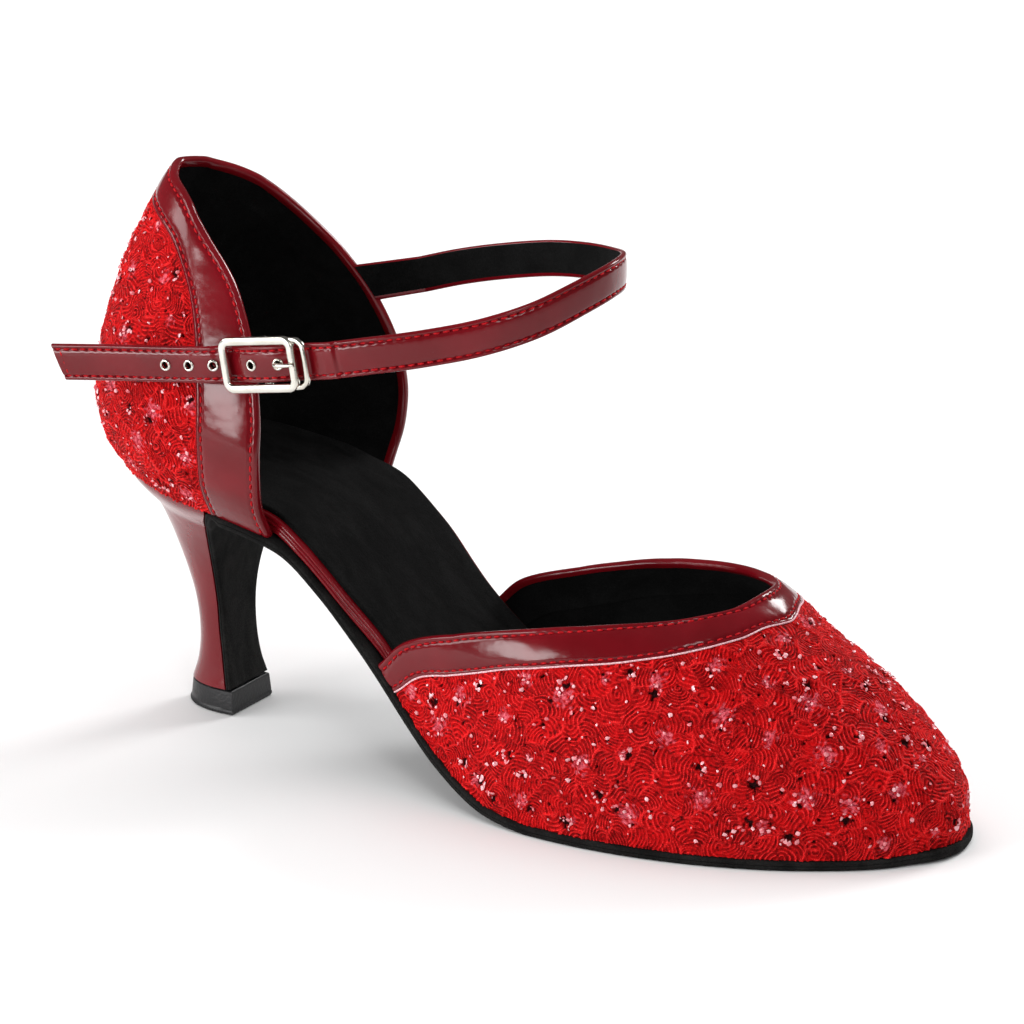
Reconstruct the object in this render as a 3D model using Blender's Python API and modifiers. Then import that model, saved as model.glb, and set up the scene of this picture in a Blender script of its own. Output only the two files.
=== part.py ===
import bpy
import bmesh
import numpy as np
from mathutils import Vector

# Right dance shoe, metres. +X points to the toe, +Y to the inner (medial) side, +Z up.
# The origin is on the floor under the middle of the heel tip.

MM = 0.001

GAP = 0.3 * MM
SOLE_GAP = 0.55 * MM
SEAM_GAP = 0.55 * MM
FLAP_GAP = 0.42 * MM

SOLE_LENGTH = 224.0 * MM
BALL_WIDTH = 79.0 * MM
SEAT_BACK = -25.0 * MM
SOLE_THICK = 2.2 * MM
SOLE_EDGE = 0.9 * MM
TOE_JOIN = 6.0 * MM
TOE_ROUND = 22.0 * MM
ARCH_FRONT = 79.0 * MM
ARCH_BACK = 16.5 * MM
FLAP_THICK = 1.6 * MM

WALL = 1.8 * MM
BAND_PROUD = 0.25 * MM

BOARD_THICK = 3.8 * MM
BOARD_INSET = 2.5 * MM
BOARD_TOE_INSET = 4.4 * MM
BOARD_WAIST_INSET = 0.3 * MM
BOARD_FLARE_BACK = 5.5 * MM     # length over which its edge moves out behind the open waist
BOARD_FLARE_FRONT = 7.0 * MM    # and in again before it
BOARD_UNDER_VAMP = 2.0 * MM     # how far behind the vamp's rear it is fully in
BOARD_TOE_START = 160.0 * MM    # from here it draws in to BOARD_TOE_INSET
BOARD_TOE_END = 180.0 * MM
SEAT_ROWS_END = 10.0 * MM       # where its rows change their spacing
WAIST_ROWS_START = 15.0 * MM
WAIST_ROWS_END = 70.0 * MM
FORE_ROWS_START = 76.0 * MM
SOCK_THICK = 1.0 * MM
SOCK_INSET = 0.9 * MM

TIP_HEIGHT = 6.0 * MM
TIP_FLARE = 1.07
TIP_BEVEL = 0.6 * MM
HEEL_FRONT = 11.4 * MM
SEAT_BLEND_START = 0.86
SEAT_INSET = 0.3 * MM

STRAP_WIDTH = 8.8 * MM
STRAP_THICK = 1.6 * MM
WOVEN_REACH = 19.0 * MM         # its rows are closest this far to both sides of the buckle's middle
STRAP_ROW_GAP = 0.5 * MM        # behind the weave's first row
STRAP_ROW_STEP = 4.0 * MM       # before the first plain row
HOLE_RADIUS = 1.25 * MM
EYELET_OUTER = 1.5 * MM
EYELET_INNER = 1.0 * MM
EYELET_HEIGHT = 0.5 * MM
EYELET_GAP = 0.3 * MM

FRAME_LENGTH = 22.0 * MM
FRAME_HEIGHT = 13.5 * MM
BAR_WIDTH = 1.9 * MM
BAR_THICK = 1.6 * MM
FRAME_LIFT = 1.05 * MM
FRAME_CORNER = 3.0 * MM
CENTRE_BAR_RADIUS = 0.7 * MM
CENTRE_BAR_DROP = 1.3 * MM
PRONG_RADIUS = 0.5 * MM

OUTLINE = np.array([
    # along, across: the sole's outline as shares of its length and ball width, outer side first
    (0.000, 0.000), (0.028, -0.195), (0.100, -0.320), (0.190, -0.350), (0.290, -0.340), (0.385, -0.355),
    (0.480, -0.430), (0.580, -0.500), (0.690, -0.505), (0.795, -0.445), (0.895, -0.320), (0.970, -0.150),
    (1.000, 0.030), (0.980, 0.195), (0.920, 0.335), (0.825, 0.445), (0.700, 0.500), (0.590, 0.455),
    (0.480, 0.380), (0.385, 0.340), (0.290, 0.335), (0.190, 0.350), (0.100, 0.320), (0.028, 0.195)])

FEATHER = np.array([
    # x, height of the line where the upper meets the sole
    (-25.0, 64.3), (-10.0, 62.0), (10.0, 59.2), (24.0, 56.9), (35.0, 53.0), (45.0, 45.0), (56.0, 34.2),
    (70.0, 20.5), (82.0, 11.0), (93.0, 5.2), (105.0, 3.0), (118.0, 2.6), (140.0, 2.6), (165.0, 2.6),
    (185.0, 2.9), (199.0, 3.6)]) * MM

CREST = np.array([
    # x, height of the toe part's middle line before the toe rounds it off
    (60.0, 92.0), (90.0, 77.0), (115.0, 67.0), (135.0, 60.0), (147.0, 54.5), (155.0, 48.6), (162.0, 44.4),
    (172.0, 38.2), (184.0, 31.5), (199.0, 26.0)]) * MM
TOE_ROUND_START = 165.0 * MM
SECTION_POWER = 2.0

VAMP_REAR = 61.0 * MM
POLE = 181.0 * MM
SPINE_START = 84.0 * MM
VAMP_BULGE = 1.6 * MM

VAMP_TOP = np.array([
    # along the side (share), angle up the side (rad): top line of the toe part
    (0.000, 0.000), (0.052, 0.222), (0.155, 0.480), (0.281, 0.705), (0.379, 0.848), (0.473, 0.980),
    (0.540, 1.105), (0.598, 1.262), (0.636, 1.450), (0.647, 1.5708)])

VAMP_SEAM = np.array([
    # the same for the band's lower seam
    (0.034, 0.000), (0.101, 0.217), (0.231, 0.470), (0.345, 0.629), (0.452, 0.762), (0.553, 0.930),
    (0.621, 1.112), (0.670, 1.320), (0.710, 1.480), (0.724, 1.5708)])

# places along each band from its end to its middle, and the vamp edge's shift from the seam (share, rad)
BAND_STEPS = 18
QUARTER_STEPS = 20
SEAM_SHIFT = (0.003, -0.007)

BULGE = np.array([
    # height over the feather line, outward swell at the back and at the sides
    (0, 0, 0), (5, 3.6, 3.2), (9, 5.2, 5.2), (15, 6.3, 6.6), (22, 6.1, 6.9), (28, 5.2, 5.8), (34, 3.9, 4.3),
    (40, 2.2, 2.2), (46, 0.4, -0.2), (52, -1.9, -3.0), (58, -4.8, -5.6), (64, -8.0, -7.9), (68, -10.4, -9.9),
    (73, -13.6, -13.4), (78, -17.2, -17.4)]) * MM

QUARTER_FRONT = 30.5 * MM

QUARTER_TOP = np.array([
    # along the heel outline (share), height over the feather line (mm): front edge and top line
    (0.990, 0), (0.988, 6), (0.997, 14), (1.000, 22), (0.993, 30), (0.965, 38.5), (0.925, 45.5), (0.870, 51.5),
    (0.800, 57.0), (0.700, 62.5), (0.580, 67.2), (0.440, 70.3), (0.280, 71.3), (0.140, 71.5), (0, 71.5)]) * [1, MM]

QUARTER_SEAM = np.array([
    # the same for the seam behind the band
    (0.763, 0), (0.768, 7), (0.776, 14.5), (0.775, 22), (0.763, 29), (0.742, 36), (0.715, 42.5), (0.680, 48),
    (0.630, 53.0), (0.560, 57.5), (0.470, 61.0), (0.350, 63.0), (0.230, 63.6), (0.120, 63.6), (0, 63.5)]) * [1, MM]

HEEL_SECTIONS = np.array([
    # share of the height, back x, half width, breast x
    (0.00, -8.8, 8.5, 4.9), (0.08, -7.3, 7.6, 3.9), (0.16, -6.6, 7.2, 3.2), (0.28, -6.7, 7.2, 2.5),
    (0.40, -8.0, 7.6, 2.3), (0.52, -10.2, 9.0, 2.4), (0.64, -12.6, 11.4, 3.0), (0.75, -14.8, 14.6, 4.2),
    (0.85, -17.2, 18.4, 6.0), (0.93, -20.4, 22.0, 8.0), (1.00, -24.6, 26.0, 11.4)]) * [1.0, MM, MM, MM]

HEEL_LEVELS = np.concatenate([np.linspace(0.0, 0.72, 11), np.linspace(0.79, 1.0, 6)])

STRAP_PATH = np.array([
    # x, y, z along the strap's middle, from the tail's end, past the buckle and round to the inner side
    (-22.0, -37.6, 93.0), (-8.0, -36.6, 94.8), (8.0, -35.9, 96.8), (22.0, -35.9, 98.9), (34.5, -37.0, 101.4),
    (48.0, -37.5, 104.0), (62.0, -36.0, 107.3), (76.0, -32.4, 110.5), (88.0, -26.5, 113.6),
    (97.5, -18.0, 117.2), (103.2, -8.0, 120.8), (105.2, 2.5, 122.6), (102.5, 13.0, 122.0),
    (95.0, 21.5, 120.0), (85.0, 27.3, 118.3), (74.0, 30.8, 116.4), (60.0, 32.8, 113.2),
    (46.0, 33.4, 109.4), (36.0, 32.6, 106.2)]) * MM
BUCKLE_X = 34.5 * MM
TAIL_SLANT = 3.0 * MM
ROOT_HEIGHT = 104.0 * MM
TAB_HEIGHT = 98.5 * MM
TAB_WIDTH = 6.5 * MM
TAB_THICK = 1.2 * MM

WEAVE = np.array([
    # distance from the buckle's middle, outward shift of the strap as it passes the three bars
    (-22.0, 0.0), (-15.0, 0.0), (-11.0, -0.9), (-8.6, -0.9), (-4.0, 0.2), (0.0, 0.5), (4.0, 0.2),
    (8.6, -0.9), (14.5, -0.9), (19.0, 0.0), (24.0, 0.0)]) * MM

HOLE_OFFSETS = np.array([5.2, -1.9, -14.2, -20.8, -27.4]) * MM

PAINTS = {
    # base colour, roughness, metallic
    "lace_red": ((0.45, 0.006, 0.008), 0.55, 0.0),
    "patent_burgundy": ((0.13, 0.006, 0.012), 0.15, 0.0),
    "suede_black": ((0.012, 0.011, 0.011), 0.9, 0.0),
    "tip_black": ((0.015, 0.015, 0.016), 0.45, 0.0),
    "nickel": ((0.75, 0.73, 0.70), 0.2, 1.0),
}


def smooth(at, knots, values):
    """Reads a table with a smooth curve through its rows."""
    at = np.clip(np.asarray(at, float), knots[0], knots[-1])
    slopes = np.gradient(values, knots)
    i = np.clip(np.searchsorted(knots, at, side="right") - 1, 0, len(knots) - 2)
    h = knots[i + 1] - knots[i]
    t = (at - knots[i]) / h
    return ((2 * t**3 - 3 * t**2 + 1) * values[i] + (t**3 - 2 * t**2 + t) * h * slopes[i]
            + (3 * t**2 - 2 * t**3) * values[i + 1] + (t**3 - t**2) * h * slopes[i + 1])


def read_curve(table, at):
    """at: 0 at the first row, 1 at the last."""
    knots = np.linspace(0.0, 1.0, len(table))
    return [smooth(at, knots, table[:, column]) for column in range(table.shape[1])]


def dense_outline(count=3000):
    points = OUTLINE * [SOLE_LENGTH, BALL_WIDTH] + [SEAT_BACK, 0.0]
    ring = np.vstack([points[-3:], points, points[:4]])
    steps = np.concatenate([[0.0], np.cumsum(np.hypot(*np.diff(ring, axis=0).T))])
    at = np.linspace(steps[3], steps[-4], count)
    return np.stack([smooth(at, steps, ring[:, 0]), smooth(at, steps, ring[:, 1])], -1)


RIM = dense_outline()
RIM_ARC = np.concatenate([[0.0], np.cumsum(np.hypot(*np.diff(RIM, axis=0).T))])
AROUND = RIM_ARC[-1]
TOE_INDEX = int(RIM[:, 0].argmax())
TOE_ARC = RIM_ARC[TOE_INDEX]
TOE_X = RIM[TOE_INDEX, 0]


def rim(arc):
    """Point on the sole's outline, by distance from the middle of the heel's back round the outer side."""
    arc = np.mod(arc, AROUND)
    return np.stack([np.interp(arc, RIM_ARC, RIM[:, 0]), np.interp(arc, RIM_ARC, RIM[:, 1])], -1)


def rim_out(arc):
    step = 1.5 * MM
    along = rim(np.asarray(arc) + step) - rim(np.asarray(arc) - step)
    along /= np.linalg.norm(along, axis=-1, keepdims=True)
    return np.stack([along[..., 1], -along[..., 0]], -1) * TURN


TURN = 1.0
if rim_out(0.0)[0] > 0:
    TURN = -1.0


def feather(x):
    return np.maximum(smooth(x, FEATHER[:, 0], FEATHER[:, 1]), SOLE_GAP + SOLE_THICK)


def sides(x):
    outer = RIM[:TOE_INDEX + 1]
    inner = RIM[TOE_INDEX:][::-1]
    return np.interp(x, outer[:, 0], outer[:, 1]), np.interp(x, inner[:, 0], inner[:, 1])


def arc_at(x, side):
    if side < 0:
        return np.interp(x, RIM[:TOE_INDEX + 1, 0], RIM_ARC[:TOE_INDEX + 1])
    return np.interp(x, RIM[TOE_INDEX:, 0][::-1], RIM_ARC[TOE_INDEX:][::-1])


def crest(x):
    t = np.clip((np.asarray(x) - TOE_ROUND_START) / (TOE_X - TOE_ROUND_START), 0, 1)
    base = feather(x)
    return base + (smooth(x, CREST[:, 0], CREST[:, 1]) - base) * np.sqrt(1 - t**2.6)


def last_height(x, y):
    low, high = sides(x)
    share = np.clip(np.abs(y - (low + high) / 2) / np.maximum((high - low) / 2, 1e-6), 0, 1)
    base = feather(x)
    return base + (crest(x) - base) * (1 - share**SECTION_POWER) ** 0.5


def vamp_point(side, t, phi, lift=0.0):
    """t: 0 at the wall's rear end, 1 at the toe; phi: 0 at the feather line, pi/2 at the crest."""
    t, phi = np.broadcast_arrays(np.asarray(t, float), np.asarray(phi, float))
    start = arc_at(VAMP_REAR, side)
    arc = start + (TOE_ARC - start) * t
    foot = rim(arc)
    top_x = SPINE_START + (POLE - SPINE_START) * t
    low, high = sides(top_x)
    top = np.stack([top_x, (low + high) / 2], -1)
    flat = top + (foot - top) * np.cos(phi)[..., None]
    z = last_height(flat[..., 0], flat[..., 1]) + lift * np.sin(phi)
    over = VAMP_BULGE * np.sin(np.clip(phi / 1.3, 0, 1) * np.pi) ** 2 + lift * np.cos(phi)
    flat = flat + rim_out(arc) * over[..., None]
    return np.concatenate([flat, z[..., None]], -1)


def quarter_point(s, h, lift=0.0):
    """s: -1 at the outer front corner, 0 at the back, 1 at the inner one; h: height over the feather line."""
    s, h = np.broadcast_arrays(np.asarray(s, float), np.asarray(h, float))
    outer = arc_at(QUARTER_FRONT, -1)
    inner = arc_at(QUARTER_FRONT, 1) - AROUND
    arc = np.where(s < 0, -s * outer, s * inner)
    foot = rim(arc)
    back = np.cos(np.clip(np.abs(s) / 0.62, 0, 1) * np.pi / 2) ** 2
    swell = smooth(h, BULGE[:, 0], BULGE[:, 1]) * back + smooth(h, BULGE[:, 0], BULGE[:, 2]) * (1 - back)
    flat = foot + rim_out(arc) * (swell + lift)[..., None]
    return np.concatenate([flat, (feather(foot[..., 0]) + h)[..., None]], -1)


def clear_scene():
    for item in list(bpy.data.objects):
        bpy.data.objects.remove(item, do_unlink=True)
    for group in list(bpy.data.collections):
        bpy.data.collections.remove(group)


def make_collection(name):
    group = bpy.data.collections.new(name)
    bpy.context.scene.collection.children.link(group)
    return group


def paint(obj, look):
    colour, roughness, metallic = PAINTS[look]
    material = bpy.data.materials.new(obj.name + "_" + look)
    material.use_nodes = True
    shader = material.node_tree.nodes["Principled BSDF"]
    shader.inputs["Base Color"].default_value = (*colour, 1.0)
    shader.inputs["Roughness"].default_value = roughness
    shader.inputs["Metallic"].default_value = metallic
    obj.data.materials.clear()
    obj.data.materials.append(material)


def add_object(name, mesh, group, look):
    obj = bpy.data.objects.new(name, mesh)
    group.objects.link(obj)
    if look:
        paint(obj, look)
    return obj


def tidy_mesh(mesh, merge=0.00002):
    work = bmesh.new()
    work.from_mesh(mesh)
    bmesh.ops.remove_doubles(work, verts=work.verts, dist=merge)
    bmesh.ops.dissolve_degenerate(work, edges=work.edges, dist=merge)
    bmesh.ops.recalc_face_normals(work, faces=work.faces)
    work.to_mesh(mesh)
    work.free()


def grid_faces(rows, columns, wrap=False):
    faces = []
    last = columns if wrap else columns - 1
    for r in range(rows - 1):
        for c in range(last):
            n = (c + 1) % columns
            faces.append((r * columns + c, r * columns + n, (r + 1) * columns + n, (r + 1) * columns + c))
    return faces


def sheet_mesh(name, grid, wrap=False):
    rows, columns = grid.shape[:2]
    mesh = bpy.data.meshes.new(name)
    mesh.from_pydata(grid.reshape(-1, 3).tolist(), [], grid_faces(rows, columns, wrap))
    return mesh


def orient_outward(mesh, centre):
    """Turns an open sheet's faces away from a point inside the shoe."""
    work = bmesh.new()
    work.from_mesh(mesh)
    bmesh.ops.remove_doubles(work, verts=work.verts, dist=0.00002)
    bmesh.ops.dissolve_degenerate(work, edges=work.edges, dist=0.00002)
    bmesh.ops.recalc_face_normals(work, faces=work.faces)
    work.faces.ensure_lookup_table()
    votes = sum((face.calc_center_median() - Vector(centre)).dot(face.normal) * face.calc_area()
                for face in work.faces)
    if votes < 0:
        bmesh.ops.reverse_faces(work, faces=work.faces)
    work.to_mesh(mesh)
    work.free()


def shell(name, grid, thickness, centre, group, look):
    """An open sheet given real thickness inward."""
    mesh = sheet_mesh(name, grid)
    orient_outward(mesh, centre)
    obj = add_object(name, mesh, group, look)
    solid = obj.modifiers.new("wall", "SOLIDIFY")
    solid.thickness = thickness
    solid.offset = -1.0
    solid.use_even_offset = True
    solid.use_rim = True
    return obj


def loft(name, rings, group, look):
    """Closed rings joined in order, with flat caps."""
    rows, columns = rings.shape[:2]
    faces = grid_faces(rows, columns, wrap=True)
    faces.append(tuple(range(columns))[::-1])
    faces.append(tuple((rows - 1) * columns + c for c in range(columns)))
    mesh = bpy.data.meshes.new(name)
    mesh.from_pydata(rings.reshape(-1, 3).tolist(), [], faces)
    tidy_mesh(mesh)
    return add_object(name, mesh, group, look)


def slab(name, upper, lower, group, look):
    """Two grids of the same size joined round their edge."""
    rows, columns = upper.shape[:2]
    count = rows * columns
    faces = grid_faces(rows, columns)
    faces += [tuple(count + i for i in face[::-1]) for face in grid_faces(rows, columns)]
    edge = [r * columns for r in range(rows)]
    edge += [(rows - 1) * columns + c for c in range(1, columns)]
    edge += [r * columns + columns - 1 for r in range(rows - 2, -1, -1)]
    edge += [c for c in range(columns - 2, 0, -1)]
    for i, a in enumerate(edge):
        b = edge[(i + 1) % len(edge)]
        faces.append((a, b, count + b, count + a))
    mesh = bpy.data.meshes.new(name)
    mesh.from_pydata(np.vstack([upper.reshape(-1, 3), lower.reshape(-1, 3)]).tolist(), [], faces)
    tidy_mesh(mesh)
    return add_object(name, mesh, group, look)


def both_sides(count):
    """Places along a curve that runs up one side, over the middle and down the other."""
    return np.linspace(-1.0, 1.0, 2 * count + 1)


def vamp_grid(rows=8):
    """Ribs from the feather line to the seam, or to the crest in front of the seam's middle."""
    seam_t, seam_phi = read_curve(VAMP_SEAM, np.linspace(0.0, 1.0, BAND_STEPS + 1)[1:])
    fore = np.linspace(seam_t[-1] + SEAM_SHIFT[0], 1.0, 10)[1:]
    t = np.concatenate([seam_t + SEAM_SHIFT[0], fore])
    top = np.concatenate([seam_phi[:-1] + SEAM_SHIFT[1], np.full(len(fore) + 1, np.pi / 2)])
    share = np.linspace(0.0, 1.0, rows + 1)[:, None]
    outer = vamp_point(-1, t[None, :] + 0 * share, top[None, :] * share)
    inner = vamp_point(1, t[None, :] + 0 * share, top[None, :] * share)
    return np.concatenate([outer, inner[:, -2::-1]], 1)


def vamp_band_grid(rows=3):
    w = np.linspace(0.0, 1.0, BAND_STEPS + 1)
    top_t, top_phi = read_curve(VAMP_TOP, w)
    seam_t, seam_phi = read_curve(VAMP_SEAM, w)
    share = np.linspace(0.0, 1.0, rows + 1)[:, None]
    t = seam_t + (top_t - seam_t) * share
    phi = seam_phi + (top_phi - seam_phi) * share
    outer = vamp_point(-1, t, phi, BAND_PROUD)
    inner = vamp_point(1, t, phi, BAND_PROUD)
    return np.concatenate([outer, inner[:, -2::-1]], 1)


def quarter_edges(table, w):
    s, h = read_curve(table, 1.0 - np.abs(w))
    return s * np.sign(w), h


def quarter_grid(rows=9):
    """Between the heel's feather line and the seam; the seam's upright ends are the sheet's ends."""
    count = QUARTER_STEPS - 3
    w = both_sides(count)
    pulled_in = 1.0 - SEAM_GAP / arc_at(QUARTER_FRONT, -1)
    top_s, top_h = quarter_edges(QUARTER_SEAM, w * count / QUARTER_STEPS)
    top_s = top_s * pulled_in
    top_h = top_h - SEAM_GAP
    foot_s = QUARTER_SEAM[0, 0] * pulled_in * w
    share = np.linspace(0.0, 1.0, rows + 1)[:, None]
    s = foot_s + (top_s - foot_s) * share
    h = top_h * share
    return quarter_point(s, h)


def quarter_band_grid(rows=4):
    w = both_sides(QUARTER_STEPS)
    top_s, top_h = quarter_edges(QUARTER_TOP, w)
    seam_s, seam_h = quarter_edges(QUARTER_SEAM, w)
    share = np.linspace(0.0, 1.0, rows + 1)[:, None]
    return quarter_point(seam_s + (top_s - seam_s) * share, seam_h + (top_h - seam_h) * share, BAND_PROUD)


def upper(group):
    shell("vamp", vamp_grid(), WALL, (0.13, 0.0, 0.005), group, "lace_red")
    shell("vamp_band", vamp_band_grid(), WALL, (0.13, 0.0, 0.005), group, "patent_burgundy")
    shell("quarter", quarter_grid(), WALL, (0.01, 0.0, 0.09), group, "lace_red")
    shell("quarter_band", quarter_band_grid(), WALL, (0.01, 0.0, 0.09), group, "patent_burgundy")


def toward_ends(count, start, end):
    """Places from start to end, closer together at the end."""
    share = np.sin(np.linspace(0.0, 1.0, count) * np.pi / 2)
    return start + (end - start) * share


def insole_inset(x):
    """Inside the walls at heel and toe, out to the edge at the open waist."""
    fore = VAMP_REAR - BOARD_UNDER_VAMP
    marks = np.array([SEAT_BACK, QUARTER_FRONT, QUARTER_FRONT + BOARD_FLARE_BACK, fore - BOARD_FLARE_FRONT, fore,
                      BOARD_TOE_START, BOARD_TOE_END, TOE_X])
    values = np.array([BOARD_INSET, BOARD_INSET, BOARD_WAIST_INSET, BOARD_WAIST_INSET, BOARD_INSET, BOARD_INSET,
                       BOARD_TOE_INSET, BOARD_TOE_INSET])
    return np.interp(x, marks, values)


def board_rows(extra):
    back = SEAT_BACK + BOARD_INSET + extra
    front = TOE_X - BOARD_TOE_INSET - extra
    seat = back + (SEAT_ROWS_END - back) * (1 - np.cos(np.linspace(0.0, 1.0, 8) * np.pi / 2))
    waist = np.linspace(WAIST_ROWS_START, WAIST_ROWS_END, 14)
    fore = toward_ends(14, FORE_ROWS_START, front)
    return np.concatenate([seat, waist, fore])


def board_plan(extra, columns):
    """The outline pulled in, kept open at both ends so that every row has width."""
    x = board_rows(extra)
    inset = insole_inset(x) + extra
    back = x[0]
    front = x[-1]
    middle = (x - back) / (front - back)
    squeezed = SEAT_BACK + (TOE_X - SEAT_BACK) * middle
    squeezed = np.clip(squeezed, SEAT_BACK + 0.35 * MM, TOE_X - 0.35 * MM)
    low, high = sides(squeezed)
    edge_low, edge_high = sides(x)
    low = np.maximum(low, edge_low + inset)
    high = np.minimum(high, edge_high - inset)
    share = 0.5 - 0.5 * np.cos(np.pi * np.linspace(0.0, 1.0, columns))
    y = low[:, None] + (high - low)[:, None] * share
    return np.broadcast_to(x[:, None], y.shape), y


def insole(group):
    x, y = board_plan(0.0, 7)
    base = feather(x)
    top = np.stack([x, y, base + GAP + BOARD_THICK], -1)
    bottom = np.stack([x, y, base + GAP], -1)
    slab("insole_board", top, bottom, group, "patent_burgundy")
    x, y = board_plan(SOCK_INSET, 7)
    base = feather(x) + GAP + BOARD_THICK + SOLE_GAP
    top = np.stack([x, y, base + SOCK_THICK], -1)
    bottom = np.stack([x, y, base], -1)
    slab("sock", top, bottom, group, "suede_black")


def heel_sections(share, around):
    """Rings of the heel: rounded at the back, flat at the breast, growing into the seat's outline."""
    columns = [smooth(share, HEEL_SECTIONS[:, 0], HEEL_SECTIONS[:, i])[:, None] for i in (1, 2, 3)]
    back, half, breast = columns
    angle = around[None, :] * np.pi
    x = breast - (breast - back) * np.sin(angle) ** 0.85
    y = -half * np.cos(angle)
    y = np.sign(y) * np.abs(y / half) ** 1.15 * half
    outer = arc_at(HEEL_FRONT, -1)
    inner = arc_at(HEEL_FRONT, 1) - AROUND
    arc = outer + (inner - outer) * around
    seat = rim(arc) - SEAT_INSET * rim_out(arc)
    blend = np.clip((share - SEAT_BLEND_START) / (1.0 - SEAT_BLEND_START), 0, 1)[:, None] ** 1.6
    x = x + (seat[:, 0] - x) * blend
    y = y + (seat[:, 1] - y) * blend
    bottom = TIP_HEIGHT + GAP
    z = bottom + (feather(seat[:, 0]) - GAP - bottom) * share[:, None]
    return np.stack([x, y, z], -1)


def heel(group):
    """The covered heel, and the tip under it, which also carries the flap's lower end."""
    around = np.linspace(0.0, 1.0, 25)
    loft("heel", heel_sections(HEEL_LEVELS, around), group, "patent_burgundy")
    low = heel_sections(np.array([0.0]), around)[0]
    low[[0, -1], 0] += FLAP_GAP + FLAP_THICK
    top = low * [1.0, 1.0, 0.0] + [0.0, 0.0, TIP_HEIGHT]
    foot = low * [TIP_FLARE, TIP_FLARE, 0.0]
    bevel = foot - np.sign(foot) * TIP_BEVEL
    rings = np.stack([bevel, foot + [0.0, 0.0, TIP_BEVEL], top])
    loft("top_piece", rings, group, "tip_black")


def breast_line(share):
    """Middle of the heel's front face."""
    ring = heel_sections(share, np.array([0.0, 1.0]))
    return np.stack([ring[:, 0, 0], ring[:, 0, 2], np.abs(ring[:, 0, 1])], -1)


def toe_reach(x):
    """Width of the ellipse that rounds off the sole at the toe, as a share of its own half width."""
    length = TOE_ROUND + SOLE_EDGE
    return np.sqrt(np.clip(1 - ((x - TOE_X + TOE_ROUND) / length) ** 2, 0, 1))


def sole_plan(x):
    """Middle and half width of the sole at each x."""
    low, high = sides(np.clip(x, SEAT_BACK, TOE_X - 0.02 * MM))
    join = TOE_X - TOE_JOIN
    join_low, join_high = sides(join)
    rounded = ((join_high - join_low) / 2 + SOLE_EDGE) * toe_reach(x) / toe_reach(join)
    return (low + high) / 2, np.where(x > join, rounded, (high - low) / 2 + SOLE_EDGE)


def sole_lines():
    """Upper and lower line of the sole's middle section, from the toe to the end of the arch."""
    step = (ARCH_FRONT - ARCH_BACK) / 15
    fore = toward_ends(20, ARCH_FRONT + step, TOE_X + SOLE_EDGE - 0.25 * MM)[::-1]
    x = np.concatenate([fore, np.linspace(ARCH_FRONT, ARCH_BACK, 16)])
    z = feather(np.minimum(x, TOE_X)) - SOLE_GAP
    drop = np.stack([-np.gradient(z, x), np.ones_like(x)], -1)
    drop /= np.linalg.norm(drop, axis=-1, keepdims=True)
    upper_line = np.stack([x, z], -1)
    return upper_line, upper_line - drop * SOLE_THICK


def flap_lines(share):
    """The same for the flap down the heel's breast, with the flap's half width."""
    breast = breast_line(share)
    inner = np.stack([breast[:, 0] + FLAP_GAP, breast[:, 1]], -1)
    normal = np.stack([-np.gradient(inner[:, 1]), np.gradient(inner[:, 0])], -1)
    normal /= np.linalg.norm(normal, axis=-1, keepdims=True)
    thick = smooth(share, np.array([0.0, 0.5, 1.0]), np.array([FLAP_THICK, FLAP_THICK, SOLE_THICK]))
    outer = inner + normal * thick[:, None]
    outer[-1] = inner[-1] + [FLAP_THICK, 0.0]
    return inner, outer, breast[:, 2]


def outsole(group):
    """One sheet from the toe up the arch and down the heel's breast."""
    top, bottom = sole_lines()
    middle, half = sole_plan(top[:, 0])
    flap_in, flap_out, flap_half = flap_lines(HEEL_LEVELS[-2::-1])
    corner_in = np.array([HEEL_FRONT + GAP, feather(HEEL_FRONT) - GAP])
    corner_out = (bottom[-1] + flap_out[0]) / 2 + [-0.5 * MM, 0.6 * MM]
    inner = np.vstack([top, corner_in, flap_in])
    outer = np.vstack([bottom, corner_out, flap_out])
    seat_low, seat_high = sides(HEEL_FRONT)
    half = np.concatenate([half, [(seat_high - seat_low) / 2], flap_half])
    middle = np.concatenate([middle, [(seat_low + seat_high) / 2], np.zeros(len(flap_half))])
    y = middle[:, None] - half[:, None] * np.cos(np.pi * np.linspace(0.0, 1.0, 7))
    faces = []
    for line in (inner, outer):
        faces.append(np.stack([np.broadcast_to(line[:, :1], y.shape), y, np.broadcast_to(line[:, 1:], y.shape)], -1))
    slab("outsole", faces[0], faces[1], group, "suede_black")


def strap_table():
    steps = np.concatenate([[0.0], np.cumsum(np.linalg.norm(np.diff(STRAP_PATH, axis=0), axis=1))])
    buckle = np.interp(BUCKLE_X, STRAP_PATH[:10, 0], steps[:10])
    return steps - buckle, STRAP_PATH


def strap_frame(along):
    """Middle, forward, outward and upward directions of the strap; along is 0 at the buckle's middle."""
    steps, path = strap_table()
    step = 0.5 * MM

    def place(at):
        return np.stack([smooth(at, steps, path[:, i]) for i in range(3)], -1)

    at = np.clip(along, steps[0] + step, steps[-1] - step)
    forward = place(at + step) - place(at - step)
    forward /= np.linalg.norm(forward, axis=-1, keepdims=True)
    up = np.array([0.0, 0.0, 1.0]) - forward * forward[..., 2:3]
    up /= np.linalg.norm(up, axis=-1, keepdims=True)
    outward = np.cross(forward, up)
    middle = place(along)
    return middle, forward, outward, up


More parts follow.
